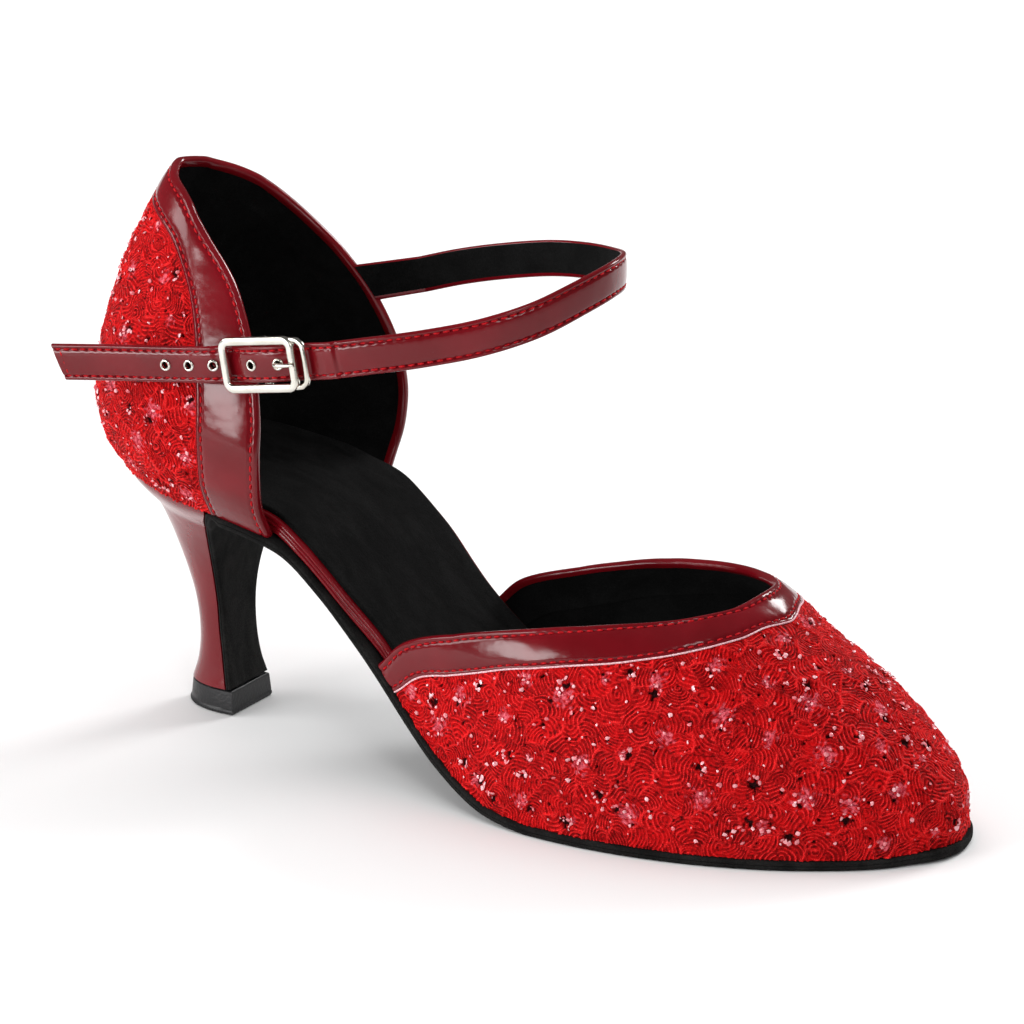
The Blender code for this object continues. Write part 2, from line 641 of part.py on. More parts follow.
def strap_face(offset):
    """Middle of the strap and the direction its outer face looks in, at a distance from the buckle."""
    middle, forward, outward, up = strap_frame(np.array([offset]))
    step = 1.0 * MM
    shift = smooth(offset + np.array([-step, 0.0, step]), WEAVE[:, 0], WEAVE[:, 1])
    if abs(offset) > WEAVE[-1, 0]:
        shift = np.zeros(3)
    axis = outward[0] - forward[0] * (shift[2] - shift[0]) / (2 * step)
    return middle[0] + outward[0] * shift[1], axis / np.linalg.norm(axis)


def band_edge(side, height, proud=0.0):
    """Point on the quarter band's front edge at a height, and the direction leading off it."""
    w = np.linspace(0.45, 1.0, 300) * side
    s, h = quarter_edges(QUARTER_TOP, w)
    line = quarter_point(s, h, proud)
    i = np.abs(line[:, 2] - height).argmin()
    inside = quarter_point(s[i] - 0.02 * side, h[i], proud)
    away = line[i] - inside
    return line[i], away / np.linalg.norm(away)


def strap(group, cutters):
    steps, path = strap_table()
    along = np.concatenate([
        np.linspace(steps[0], WEAVE[0, 0] - STRAP_ROW_GAP, 6), np.linspace(-WOVEN_REACH, WOVEN_REACH, 17),
        np.linspace(WOVEN_REACH + STRAP_ROW_STEP, steps[-1], 30)])
    middle, forward, outward, up = strap_frame(along)
    weave = smooth(along, WEAVE[:, 0], WEAVE[:, 1])
    weave = np.where(np.abs(along) > WEAVE[-1, 0], 0.0, weave)
    middle = middle + outward * weave[:, None]
    across_strap = np.array([-0.5, 0.0, 0.5]) * STRAP_WIDTH
    rows = middle[:, None] + up[:, None] * across_strap[None, :, None]
    rows[0] -= forward[0] * (across_strap / STRAP_WIDTH * TAIL_SLANT)[:, None]
    outer = rows + outward[:, None] * STRAP_THICK / 2
    inner = rows - outward[:, None] * STRAP_THICK / 2
    end_outer = []
    end_inner = []
    for shift in across_strap:
        edge, away = band_edge(1, ROOT_HEIGHT + shift)
        out = np.cross([0.0, 0.0, 1.0], away) * -1
        out[2] = 0.0
        out /= np.linalg.norm(out)
        end_outer.append(edge + away * GAP * 1.4)
        end_inner.append(edge + away * GAP * 1.4 - out * STRAP_THICK * np.sign(out[1]))
    outer = np.concatenate([outer, np.array(end_outer)[None]])
    inner = np.concatenate([inner, np.array(end_inner)[None]])
    obj = slab("strap", outer, inner, group, "patent_burgundy")
    bpy.context.view_layer.update()
    for i, offset in enumerate(HOLE_OFFSETS):
        centre, axis = strap_face(offset)
        cutter = rod("hole_cut_%d" % (i + 1), centre, axis, HOLE_RADIUS, 6.0 * MM, 14, cutters)
        cut = obj.modifiers.new("hole_%d" % (i + 1), "BOOLEAN")
        cut.operation = "DIFFERENCE"
        cut.solver = "EXACT"
        cut.object = cutter
        eyelet("eyelet_%d" % (i + 1), centre + axis * (STRAP_THICK / 2 + EYELET_GAP), axis, group)
    return obj


def rod(name, centre, axis, radius, length, sides_count, group):
    mesh = bpy.data.meshes.new(name)
    work = bmesh.new()
    bmesh.ops.create_cone(work, cap_ends=True, segments=sides_count, radius1=radius, radius2=radius, depth=length)
    turn = Vector((0, 0, 1)).rotation_difference(Vector(axis)).to_matrix().to_4x4()
    turn.translation = Vector(centre)
    bmesh.ops.transform(work, matrix=turn, verts=work.verts)
    work.to_mesh(mesh)
    work.free()
    obj = add_object(name, mesh, group, None)
    obj.display_type = "WIRE"
    obj.hide_render = True
    return obj


def ring_rows(profile, centre, axis, count):
    """A small profile (radius, height) turned round an axis."""
    turn = Vector((0, 0, 1)).rotation_difference(Vector(axis)).to_matrix()
    angle = np.linspace(0.0, 2 * np.pi, count, endpoint=False)
    rows = []
    for radius, height in profile:
        ring = [Vector((radius * np.cos(a), radius * np.sin(a), height)) for a in angle]
        rows.append([list(Vector(centre) + turn @ point) for point in ring])
    return np.array(rows)


def eyelet(name, centre, axis, group):
    """A small domed ring round a hole, on the strap's outer face."""
    width = EYELET_OUTER - EYELET_INNER
    profile = [(EYELET_INNER, 0.0), (EYELET_INNER, EYELET_HEIGHT * 0.6), (EYELET_INNER + width * 0.3, EYELET_HEIGHT),
               (EYELET_INNER + width * 0.75, EYELET_HEIGHT * 0.85), (EYELET_OUTER, 0.0)]
    rows = ring_rows(profile, centre, axis, 14)
    count, columns = rows.shape[:2]
    faces = []
    for r in range(count):
        n = (r + 1) % count
        for c in range(columns):
            d = (c + 1) % columns
            faces.append((r * columns + c, r * columns + d, n * columns + d, n * columns + c))
    mesh = bpy.data.meshes.new(name)
    mesh.from_pydata(rows.reshape(-1, 3).tolist(), [], faces)
    tidy_mesh(mesh)
    return add_object(name, mesh, group, "nickel")


def rounded_loop(length, height, corner, per_corner):
    points = []
    for quadrant, (sx, sy) in enumerate(((1, 1), (-1, 1), (-1, -1), (1, -1))):
        for i in range(per_corner):
            angle = (quadrant + i / (per_corner - 1)) * np.pi / 2
            points.append((sx * (length / 2 - corner) + corner * np.cos(angle),
                           sy * (height / 2 - corner) + corner * np.sin(angle)))
    return np.array(points)


def bar_along(path, half_width, half_thick, closed, normal):
    """Rounded bar swept along a path of (forward, up) places; returns rings in buckle coordinates."""
    ahead = np.roll(path, -1, axis=0)
    behind = np.roll(path, 1, axis=0)
    if not closed:
        ahead[-1] = path[-1]
        behind[0] = path[0]
    tangent = ahead - behind
    tangent /= np.linalg.norm(tangent, axis=1, keepdims=True)
    side = np.stack([tangent[:, 1], -tangent[:, 0]], -1)
    angle = np.linspace(0.0, 2 * np.pi, 8, endpoint=False) + np.pi / 8
    round_x = np.clip(np.cos(angle) * 1.2, -1, 1) * half_width
    round_n = np.clip(np.sin(angle) * 1.15, -1, 1) * half_thick
    flat = path[:, None] + side[:, None] * round_x[None, :, None]
    depth = normal[:, None] + round_n[None, :]
    return np.concatenate([flat, depth[..., None]], -1)


def buckle_axes():
    middle, forward, outward, up = strap_frame(np.array([0.0]))
    return middle[0], forward[0], up[0], outward[0]


def to_world(points):
    """Buckle coordinates (forward, up, outward) to the shoe's."""
    middle, forward, up, outward = buckle_axes()
    return middle + points[..., 0:1] * forward + points[..., 1:2] * up + points[..., 2:3] * outward


def ring_mesh(rings, closed):
    rows, columns = rings.shape[:2]
    faces = grid_faces(rows, columns, wrap=True)
    if closed:
        for c in range(columns):
            n = (c + 1) % columns
            faces.append(((rows - 1) * columns + c, (rows - 1) * columns + n, n, c))
    else:
        faces.append(tuple(range(columns))[::-1])
        faces.append(tuple((rows - 1) * columns + c for c in range(columns)))
    return rings.reshape(-1, 3).tolist(), faces


def solid_from(name, rings, closed, group, look):
    points, faces = ring_mesh(to_world(rings), closed)
    mesh = bpy.data.meshes.new(name)
    mesh.from_pydata(points, [], faces)
    tidy_mesh(mesh)
    return add_object(name, mesh, group, look)


def join_solids(target, pieces):
    for i, piece in enumerate(pieces):
        union = target.modifiers.new("join_%d" % (i + 1), "BOOLEAN")
        union.operation = "UNION"
        union.solver = "EXACT"
        union.object = piece
        piece.display_type = "WIRE"
        piece.hide_render = True


def buckle(group, cutters):
    """Frame, front loop, centre bar with its two lugs, and the prong."""
    path = rounded_loop(FRAME_LENGTH - BAR_WIDTH, FRAME_HEIGHT - BAR_WIDTH, FRAME_CORNER - BAR_WIDTH / 2, 4)
    lift = np.full(len(path), FRAME_LIFT)
    frame = solid_from("buckle_frame", bar_along(path, BAR_WIDTH / 2, BAR_THICK / 2, True, lift), True,
                       group, "nickel")
    reach = FRAME_LENGTH / 2 + 2.6 * MM
    rise = FRAME_HEIGHT / 2 - 1.1 * MM
    loop = np.array([
        (2.0 * MM, rise), (reach - 3.2 * MM, rise), (reach - 1.4 * MM, rise - 0.5 * MM), (reach - 0.3 * MM, rise - 1.8 * MM),
        (reach, 0.0), (reach - 0.3 * MM, 1.8 * MM - rise), (reach - 1.4 * MM, 0.5 * MM - rise),
        (reach - 3.2 * MM, -rise), (2.0 * MM, -rise)])
    depth = np.full(len(loop), FRAME_LIFT - 0.45 * MM)
    depth[3:6] = FRAME_LIFT - 0.1 * MM
    second = solid_from("loop_join", bar_along(loop, 0.65 * MM, 0.65 * MM, False, depth), False, cutters, None)
    post = FRAME_HEIGHT / 2 - BAR_WIDTH / 2
    low = -CENTRE_BAR_DROP
    high = FRAME_LIFT
    half = 0.75 * MM
    lugs = []
    for side in (-1, 1):
        inside = (post - 0.55 * MM) * side
        outside = (post + 0.55 * MM) * side
        rings = []
        for level in (low - half, high):
            rings.append([(-1.1 * MM, inside, level), (1.1 * MM, inside, level),
                          (1.1 * MM, outside, level), (-1.1 * MM, outside, level)])
        lugs.append(solid_from("lug_join_%d" % (side + 2), np.array(rings), False, cutters, None))
    angle = np.linspace(0.0, 2 * np.pi, 10, endpoint=False)
    bar = np.array([[(CENTRE_BAR_RADIUS * np.cos(a), y, low + CENTRE_BAR_RADIUS * np.sin(a)) for a in angle]
                    for y in (-post, post)])
    centre_bar = solid_from("bar_join", bar, False, cutters, None)
    join_solids(frame, [second] + lugs + [centre_bar])
    reach = FRAME_LENGTH / 2 - BAR_WIDTH / 2
    run = np.array([
        # forward, outward: hooked round the bar's far side, up through the hole, onto the front bar
        (-0.95, -2.7), (0.4, -3.0), (1.6, -2.6), (3.2, -2.2), (4.6, -1.7), (5.15, -0.9), (5.2, 1.2), (5.35, 2.1),
        (6.2, 2.6), (8.0, 2.8), (reach / MM, 2.8), (reach / MM + 0.9, 2.7)]) * MM
    tangent = np.gradient(run, axis=0)
    tangent /= np.linalg.norm(tangent, axis=1, keepdims=True)
    angle = np.linspace(0.0, 2 * np.pi, 8, endpoint=False)
    rings = []
    for (x, n), (tx, tn) in zip(run, tangent):
        rings.append([(x - tn * PRONG_RADIUS * np.sin(a), PRONG_RADIUS * np.cos(a), n + tx * PRONG_RADIUS * np.sin(a))
                      for a in angle])
    solid_from("buckle_prong", np.array(rings), False, group, "nickel")


def buckle_tab(group):
    """Short strip from the outer band's front edge to the buckle's centre bar."""
    middle, forward, up, outward = buckle_axes()
    across_tab = np.array([-0.5, 0.5]) * TAB_WIDTH
    rows_out = []
    rows_in = []
    for shift in across_tab:
        edge, away = band_edge(-1, TAB_HEIGHT + shift)
        start = edge + away * GAP * 1.4 + np.array([0.0, 0.3 * MM, 0.0])
        end = middle + up * shift - outward * CENTRE_BAR_DROP - forward * (CENTRE_BAR_RADIUS + GAP)
        half_way = (start + end) / 2
        rows_out.append([start, half_way, end + outward * TAB_THICK / 2])
        rows_in.append([start + [0.0, TAB_THICK, 0.0], half_way + [0.0, TAB_THICK, 0.0],
                        end - outward * TAB_THICK / 2])
    slab("buckle_tab", np.array(rows_out), np.array(rows_in), group, "patent_burgundy")


def build():
    clear_scene()
    shoe = make_collection("dance_shoe")
    cutters = make_collection("dance_shoe_cutters")
    cutters.hide_render = True
    outsole(shoe)
    insole(shoe)
    heel(shoe)
    upper(shoe)
    strap(shoe, cutters)
    buckle_tab(shoe)
    buckle(shoe, cutters)


build()
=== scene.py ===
import bpy
import numpy as np
from mathutils import Matrix, Vector


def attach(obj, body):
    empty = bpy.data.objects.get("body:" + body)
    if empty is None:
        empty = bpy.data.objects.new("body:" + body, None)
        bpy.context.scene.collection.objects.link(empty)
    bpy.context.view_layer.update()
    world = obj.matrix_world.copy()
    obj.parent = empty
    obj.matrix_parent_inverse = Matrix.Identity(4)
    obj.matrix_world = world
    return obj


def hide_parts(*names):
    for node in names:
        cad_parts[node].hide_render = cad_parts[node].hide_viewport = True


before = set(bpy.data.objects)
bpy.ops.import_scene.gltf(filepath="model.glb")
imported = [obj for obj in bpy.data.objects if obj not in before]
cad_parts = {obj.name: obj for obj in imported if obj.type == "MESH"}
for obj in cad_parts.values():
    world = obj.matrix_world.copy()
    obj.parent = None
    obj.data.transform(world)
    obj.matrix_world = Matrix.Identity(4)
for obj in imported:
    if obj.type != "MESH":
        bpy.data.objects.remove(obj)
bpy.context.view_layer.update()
mm = 0.001
dice = np.random.default_rng(23)
print("frame loaded")


# the same directions at length one
def unit(vectors):
    return vectors / np.maximum(np.linalg.norm(vectors, axis=-1, keepdims=True), 1e-12)


# a bell curve that is 1 at its place
def hump(at, place, width):
    return np.exp(-((at - place) / width) ** 2)


# the length run so far at each point of a line, and the places at given runs
def runLengths(points):
    return np.concatenate([[0.0], np.cumsum(np.linalg.norm(np.diff(points, axis=0), axis=-1))])


def alongLine(at, run, line):
    return np.stack([np.interp(at, run, line[:, i]) for i in range(line.shape[1])], -1)


# the last: sole outline (shares of length and ball width), feather line and the toe part's middle line
last = {
    "length": 224 * mm, "ballWidth": 79 * mm, "seatBack": -25 * mm, "lowest": 2.75 * mm,
    "toeRound": 165 * mm, "vampRear": 61 * mm, "pole": 181 * mm, "spineStart": 84 * mm, "vampBulge": 1.6 * mm,
    "quarterFront": 30.5 * mm,
    "outline": np.array([
        (0.000, 0.000), (0.028, -0.195), (0.100, -0.320), (0.190, -0.350), (0.290, -0.340), (0.385, -0.355),
        (0.480, -0.430), (0.580, -0.500), (0.690, -0.505), (0.795, -0.445), (0.895, -0.320), (0.970, -0.150),
        (1.000, 0.030), (0.980, 0.195), (0.920, 0.335), (0.825, 0.445), (0.700, 0.500), (0.590, 0.455),
        (0.480, 0.380), (0.385, 0.340), (0.290, 0.335), (0.190, 0.350), (0.100, 0.320), (0.028, 0.195)]),
    "feather": mm * np.array([
        (-25.0, 64.3), (-10.0, 62.0), (10.0, 59.2), (24.0, 56.9), (35.0, 53.0), (45.0, 45.0), (56.0, 34.2),
        (70.0, 20.5), (82.0, 11.0), (93.0, 5.2), (105.0, 3.0), (118.0, 2.6), (140.0, 2.6), (165.0, 2.6),
        (185.0, 2.9), (199.0, 3.6)]),
    "crest": mm * np.array([
        (60.0, 92.0), (90.0, 77.0), (115.0, 67.0), (135.0, 60.0), (147.0, 54.5), (155.0, 48.6), (162.0, 44.4),
        (172.0, 38.2), (184.0, 31.5), (199.0, 26.0)]),
    # height over the feather line, swell at the back, swell at the sides
    "bulge": mm * np.array([
        (0, 0, 0), (5, 3.6, 3.2), (9, 5.2, 5.2), (15, 6.3, 6.6), (22, 6.1, 6.9), (28, 5.2, 5.8),
        (34, 3.9, 4.3), (40, 2.2, 2.2), (46, 0.4, -0.2), (52, -1.9, -3.0), (58, -4.8, -5.6),
        (64, -8.0, -7.9), (68, -10.4, -9.9), (73, -13.6, -13.4), (78, -17.2, -17.4)]),
}

# the bands' edges: toe part in (share along the side, angle up it),
# heel part in (share round the heel, height)
cuts = {
    "vampTop": np.array([
        (0.000, 0.000), (0.052, 0.222), (0.155, 0.480), (0.281, 0.705), (0.379, 0.848), (0.473, 0.980),
        (0.540, 1.105), (0.598, 1.262), (0.636, 1.450), (0.647, 1.5708)]),
    "vampSeam": np.array([
        (0.034, 0.000), (0.101, 0.217), (0.231, 0.470), (0.345, 0.629), (0.452, 0.762), (0.553, 0.930),
        (0.621, 1.112), (0.670, 1.320), (0.710, 1.480), (0.724, 1.5708)]),
    "quarterTop": np.array([
        (0.990, 0), (0.988, 6), (0.997, 14), (1.000, 22), (0.993, 30), (0.965, 38.5), (0.925, 45.5),
        (0.870, 51.5), (0.800, 57.0), (0.700, 62.5), (0.580, 67.2), (0.440, 70.3), (0.280, 71.3),
        (0.140, 71.5), (0, 71.5)]) * [1, mm],
    "quarterSeam": np.array([
        (0.763, 0), (0.768, 7), (0.776, 14.5), (0.775, 22), (0.763, 29), (0.742, 36), (0.715, 42.5),
        (0.680, 48), (0.630, 53.0), (0.560, 57.5), (0.470, 61.0), (0.350, 63.0), (0.230, 63.6),
        (0.120, 63.6), (0, 63.5)]) * [1, mm],
}


# a cubic curve through a table's rows, each row's slope taken from its neighbours
def readTable(at, knots, values):
    at = np.clip(np.asarray(at, float), knots[0], knots[-1])
    slopes = np.gradient(values, knots)
    i = np.clip(np.searchsorted(knots, at, side="right") - 1, 0, len(knots) - 2)
    gap = knots[i + 1] - knots[i]
    t = (at - knots[i]) / gap
    return ((2 * t**3 - 3 * t**2 + 1) * values[i] + (t**3 - 2 * t**2 + t) * gap * slopes[i]
            + (3 * t**2 - 2 * t**3) * values[i + 1] + (t**3 - t**2) * gap * slopes[i + 1])


# a table as a curve: 0 is its first row, 1 its last
def readCurve(table, at):
    knots = np.linspace(0.0, 1.0, len(table))
    return [readTable(at, knots, table[:, column]) for column in range(table.shape[1])]


# the sole's outline: the cubic through its points, once round
def makeRim(count=3000):
    points = last["outline"] * [last["length"], last["ballWidth"]] + [last["seatBack"], 0.0]
    ring = np.vstack([points[-3:], points, points[:4]])
    steps = runLengths(ring)
    at = np.linspace(steps[3], steps[-4], count)
    return np.stack([readTable(at, steps, ring[:, 0]), readTable(at, steps, ring[:, 1])], -1)


rimLine = makeRim()
rimRun = runLengths(rimLine)
around = rimRun[-1]
toeIndex = int(rimLine[:, 0].argmax())
toeRun = rimRun[toeIndex]
toeX = rimLine[toeIndex, 0]


# the outline's place at a run, counted on past its start, and its tangent turned outwards there
def rimPoint(run):
    return alongLine(np.mod(run, around), rimRun, rimLine)


def rimOut(run):
    along = unit(rimPoint(run + 1.5 * mm) - rimPoint(run - 1.5 * mm))
    return np.stack([along[..., 1], -along[..., 0]], -1) * turnOut


turnOut = 1.0
turnOut = -np.sign(rimOut(np.array(0.0))[0])    # the outline's first point is the back of the heel


# the feather line's height, never under its lowest place
def featherAt(x):
    return np.maximum(readTable(x, last["feather"][:, 0], last["feather"][:, 1]), last["lowest"])


# the outline's outer and inner y at an x, and the run at which one side passes an x
def sidesAt(x):
    outer = rimLine[:toeIndex + 1]
    inner = rimLine[toeIndex:][::-1]
    return np.interp(x, outer[:, 0], outer[:, 1]), np.interp(x, inner[:, 0], inner[:, 1])


def runAt(x, side):
    if side < 0:
        return np.interp(x, rimLine[:toeIndex + 1, 0], rimRun[:toeIndex + 1])
    return np.interp(x, rimLine[toeIndex:, 0][::-1], rimRun[toeIndex:][::-1])


# the middle line: the table's height, let down at the toe to the feather line by the root of 1 - t to the 2.6
def crestAt(x):
    t = np.clip((x - last["toeRound"]) / (toeX - last["toeRound"]), 0, 1)
    base = featherAt(x)
    return base + (readTable(x, last["crest"][:, 0], last["crest"][:, 1]) - base) * np.sqrt(1 - t**2.6)


# half an ellipse across the foot at each x, from the feather line up to the crest
def lastHeight(x, y):
    low, high = sidesAt(x)
    share = np.clip(np.abs(y - (low + high) / 2) / np.maximum((high - low) / 2, 1e-6), 0, 1)
    base = featherAt(x)
    return base + (crestAt(x) - base) * np.sqrt(1 - share**2)


# toe part: from a foot point on the outline towards a point of the middle line by the cosine of phi,
# at the height of the last there, pushed out by a small bulge half way up
def vampPoint(side, t, phi):
    side, t, phi = np.broadcast_arrays(side, t, phi)
    start = np.where(side < 0, runAt(last["vampRear"], -1), runAt(last["vampRear"], 1))
    run = start + (toeRun - start) * t
    foot = rimPoint(run)
    topX = last["spineStart"] + (last["pole"] - last["spineStart"]) * t
    low, high = sidesAt(topX)
    top = np.stack([topX, (low + high) / 2], -1)
    flat = top + (foot - top) * np.cos(phi)[..., None]
    z = lastHeight(flat[..., 0], flat[..., 1])
    over = last["vampBulge"] * np.sin(np.clip(phi / 1.3, 0, 1) * np.pi) ** 2
    flat = flat + rimOut(run) * over[..., None]
    return np.concatenate([flat, z[..., None]], -1)


# heel part: the outline moved outwards by the swell at each height
def quarterPoint(s, h):
    s, h = np.broadcast_arrays(s, h)
    outer = runAt(last["quarterFront"], -1)
    inner = runAt(last["quarterFront"], 1) - around
    run = np.where(s < 0, -s * outer, s * inner)
    foot = rimPoint(run)
    back = np.cos(np.clip(np.abs(s) / 0.62, 0, 1) * np.pi / 2) ** 2
    table = last["bulge"]
    atBack, atSides = (readTable(h, table[:, 0], table[:, i]) for i in (1, 2))
    swell = atBack * back + atSides * (1 - back)
    flat = foot + rimOut(run) * swell[..., None]
    return np.concatenate([flat, (featherAt(foot[..., 0]) + h)[..., None]], -1)


# u runs from the outer end over the middle to the inner end; v from the seam (0) to the top line (1)
def sharpVampBandAt(u, v):
    seamT, seamPhi = readCurve(cuts["vampSeam"], 1 - np.abs(u))
    topT, topPhi = readCurve(cuts["vampTop"], 1 - np.abs(u))
    return vampPoint(np.where(u < 0, -1, 1), seamT + (topT - seamT) * v, seamPhi + (topPhi - seamPhi) * v)


# the two halves meet at the throat in a slight corner, so near it each line of the band is a cubic
# that leaves one half and enters the other along their own slopes (the four Hermite terms)
def vampBandAt(u, v):
    u, v = np.broadcast_arrays(u, v)
    near = 0.12
    step = 0.01
    places = (-near - step, -near, near, near + step)
    marks = [sharpVampBandAt(np.full(u.shape, place), v) for place in places]
    leaves = (marks[1] - marks[0]) / step * 2 * near
    enters = (marks[3] - marks[2]) / step * 2 * near
    s = np.clip((u + near) / (2 * near), 0, 1)[..., None]
    bridge = (2 * s ** 3 - 3 * s ** 2 + 1) * marks[1] + (s ** 3 - 2 * s ** 2 + s) * leaves
    bridge = bridge + (3 * s ** 2 - 2 * s ** 3) * marks[2] + (s ** 3 - s ** 2) * enters
    return np.where((np.abs(u) < near)[..., None], bridge, sharpVampBandAt(u, v))


# the heel part's band: straight shares between its seam and its top line, in (share round, height)
def quarterBandAt(u, v):
    u, v = np.broadcast_arrays(u, v)
    seamS, seamH = readCurve(cuts["quarterSeam"], 1 - np.abs(u))
    topS, topH = readCurve(cuts["quarterTop"], 1 - np.abs(u))
    return quarterPoint((seamS + (topS - seamS) * v) * np.sign(u), seamH + (topH - seamH) * v)


# the lace parts: v from the feather line (0) to the seam (1), as a share of the angle or of the height
def vampLaceAt(u, v):
    u, v = np.broadcast_arrays(u, v)
    t = 1 - np.abs(u)
    seam = cuts["vampSeam"]
    place = np.interp(t, readCurve(seam, np.linspace(0, 1, 400))[0], np.linspace(0, 1, 400))
    topPhi = np.where(t >= seam[-1, 0], np.pi / 2, readCurve(seam, place)[1])
    return vampPoint(np.where(u < 0, -1, 1), t, topPhi * v)


def quarterLaceAt(u, v):
    u, v = np.broadcast_arrays(u, v)
    topS, topH = readCurve(cuts["quarterSeam"], 1 - np.abs(u) * 0.86)
    footS = cuts["quarterSeam"][0, 0] * np.abs(u)
    return quarterPoint((footS + (topS - footS) * v) * np.sign(u), topH * v)


# normals from the differences of a surface function around each place
def normalsOf(surface, u, v, centre, step=0.004):
    du = surface(np.clip(u + step, -1, 1), v) - surface(np.clip(u - step, -1, 1), v)
    dv = surface(u, v + step) - surface(u, v - step)
    normal = unit(np.cross(du, dv))
    away = ((surface(u, v) - centre) * normal).sum(-1)
    return normal * np.sign(np.median(away))


toeCentre = np.array([0.13, 0.0, 0.005])
heelCentre = np.array([0.01, 0.0, 0.09])


# materials: numbers as Python expressions that add Math nodes
class Num:
    def __init__(self, look, socket):
        self.look = look
        self.socket = socket

    def work(self, operation, *values):
        node = self.look.add("ShaderNodeMath", {"operation": operation}, dict(enumerate(values)))
        return Num(self.look, node.outputs[0])

    def __add__(self, other):
        return self.work("ADD", self, other)

    def __radd__(self, other):
        return self.work("ADD", other, self)

    def __sub__(self, other):
        return self.work("SUBTRACT", self, other)

    def __rsub__(self, other):
        return self.work("SUBTRACT", other, self)

    def __mul__(self, other):
        return self.work("MULTIPLY", self, other)

    def __rmul__(self, other):
        return self.work("MULTIPLY", other, self)

    def __pow__(self, other):
        return self.work("POWER", self, other)

    # 1 at every whole number, 0 half way between
    def wave(self):
        return self.work("COSINE", self * 6.2832) * 0.5 + 0.5


class Look:
    def __init__(self, name, fixed):
        self.material = bpy.data.materials.new(name)
        self.material.use_nodes = True
        self.tree = self.material.node_tree
        self.shader = self.tree.nodes["Principled BSDF"]
        for socket, value in fixed.items():
            self.shader.inputs[socket].default_value = (*value, 1.0) if isinstance(value, tuple) else value

    def link(self, value, socket):
        if isinstance(value, Num):
            value = value.socket
        if isinstance(value, bpy.types.NodeSocket):
            self.tree.links.new(value, socket)
        elif isinstance(value, tuple) and len(value) == 3 and socket.type == "RGBA":
            socket.default_value = (*value, 1.0)
        else:
            socket.default_value = value

    def add(self, kind, settings=None, inputs=None):
        node = self.tree.nodes.new(kind)
        for key, value in (settings or {}).items():
            setattr(node, key, value)
        for key, value in (inputs or {}).items():
            self.link(value, node.inputs[key])
        return node

    def where(self, scale=(1, 1, 1)):
        place = self.add("ShaderNodeTexCoord").outputs["Object"]
        return self.add("ShaderNodeMapping", None, {"Vector": place, "Scale": scale}).outputs[0]

    def noise(self, scale, detail=2.0, rough=0.5, warp=0.0, stretch=(1, 1, 1)):
        inputs = {"Vector": self.where(stretch), "Scale": scale, "Detail": detail, "Roughness": rough,
                  "Distortion": warp}
        return Num(self, self.add("ShaderNodeTexNoise", None, inputs).outputs[0])

    def cells(self, scale):
        node = self.add("ShaderNodeTexVoronoi", None, {"Vector": self.where(), "Scale": scale})
        return Num(self, node.outputs["Distance"])

    def value(self, name):
        return Num(self, self.add("ShaderNodeAttribute", {"attribute_name": name}).outputs["Fac"])

    def spread(self, value, low, high):
        node = self.add("ShaderNodeMapRange", {"interpolation_type": "SMOOTHSTEP"},
                        {"Value": value, "From Min": low, "From Max": high})
        return Num(self, node.outputs[0])

    def mix(self, factor, first, second):
        node = self.add("ShaderNodeMix", {"data_type": "RGBA"}, {0: factor, 6: first, 7: second})
        return node.outputs[2]

    def bump(self, height, distance):
        return self.add("ShaderNodeBump", None, {"Height": height, "Distance": distance}).outputs[0]

    def finish(self, **sockets):
        for socket, value in sockets.items():
            self.link(value, self.shader.inputs[socket.replace("_", " ")])
        return self.material


patent = {"deep": (0.128, 0.0020, 0.0050), "worn": (0.170, 0.0035, 0.0080), "peel": 150, "peelDepth": 0.00022}
# lace colours: thread is dark and light thread, partly random tone and partly painted sheen; crest is a
# painted highlight on the threads' tops; gap is the ground's own darker red, deepened by painted shade
# between the cords
laceShades = {
    "thread": ((0.34, 0.0012, 0.0024), (0.60, 0.0028, 0.0044)), "crest": (1.0, 0.024, 0.026),
    "gap": (0.055, 0.0004, 0.0010), "film": ((0.45, 0.018, 0.034), (0.90, 0.17, 0.22)),
    "hole": (0.016, 0.0008, 0.0013), "depth": 0.00024,
}
# darkest and lightest
shades = {
    "lining": ((0.0024, 0.0024, 0.0024), (0.009, 0.009, 0.009)),
    "sock": ((0.0018, 0.0018, 0.0018), (0.0105, 0.0102, 0.0102)),
    "sole": ((0.006, 0.006, 0.006), (0.028, 0.027, 0.026)),
    "heel": ((0.150, 0.003, 0.007), (0.175, 0.004, 0.009)),
    # sequin: the deep end is the sequins' own pink, the pale pink-white end is a painted glint
    "sequin": ((0.70, 0.045, 0.070), (1.0, 0.54, 0.58)),
    "nickel": ((0.66, 0.63, 0.56), (0.80, 0.78, 0.72)),
    "stitch": ((0.34, 0.003, 0.007), (0.62, 0.014, 0.020)),
    # pale pink rod colour: a painted highlight standing for the vamp band's cut edge catching light
    "edge_highlight": ((0.70, 0.32, 0.36), (0.95, 0.72, 0.75)),
    "tip": ((0.010, 0.010, 0.011), (0.035, 0.034, 0.033)),
}


# smooth patent: a slow peel and a fine grain in the coat, with small dull specks
def patentLook(name="patentBurgundy", deep=patent["deep"], worn=patent["worn"]):
    look = Look(name, {"Coat Weight": 0.10, "Coat Roughness": 0.05, "Specular IOR Level": 0.30})
    broad = look.noise(60, 3)
    peel = look.noise(patent["peel"], 2)
    grain = look.noise(1900, 3)
    specks = look.spread(look.cells(420), 0.05, 0.02)
    colour = look.mix(look.spread(broad, 0.35, 0.7), deep, worn)
    height = peel * 1.0 + grain * 0.03
    return look.finish(Base_Color=colour, Roughness=0.12 + grain * 0.1 + specks * 0.25,
                       Normal=look.bump(height, patent["peelDepth"]))


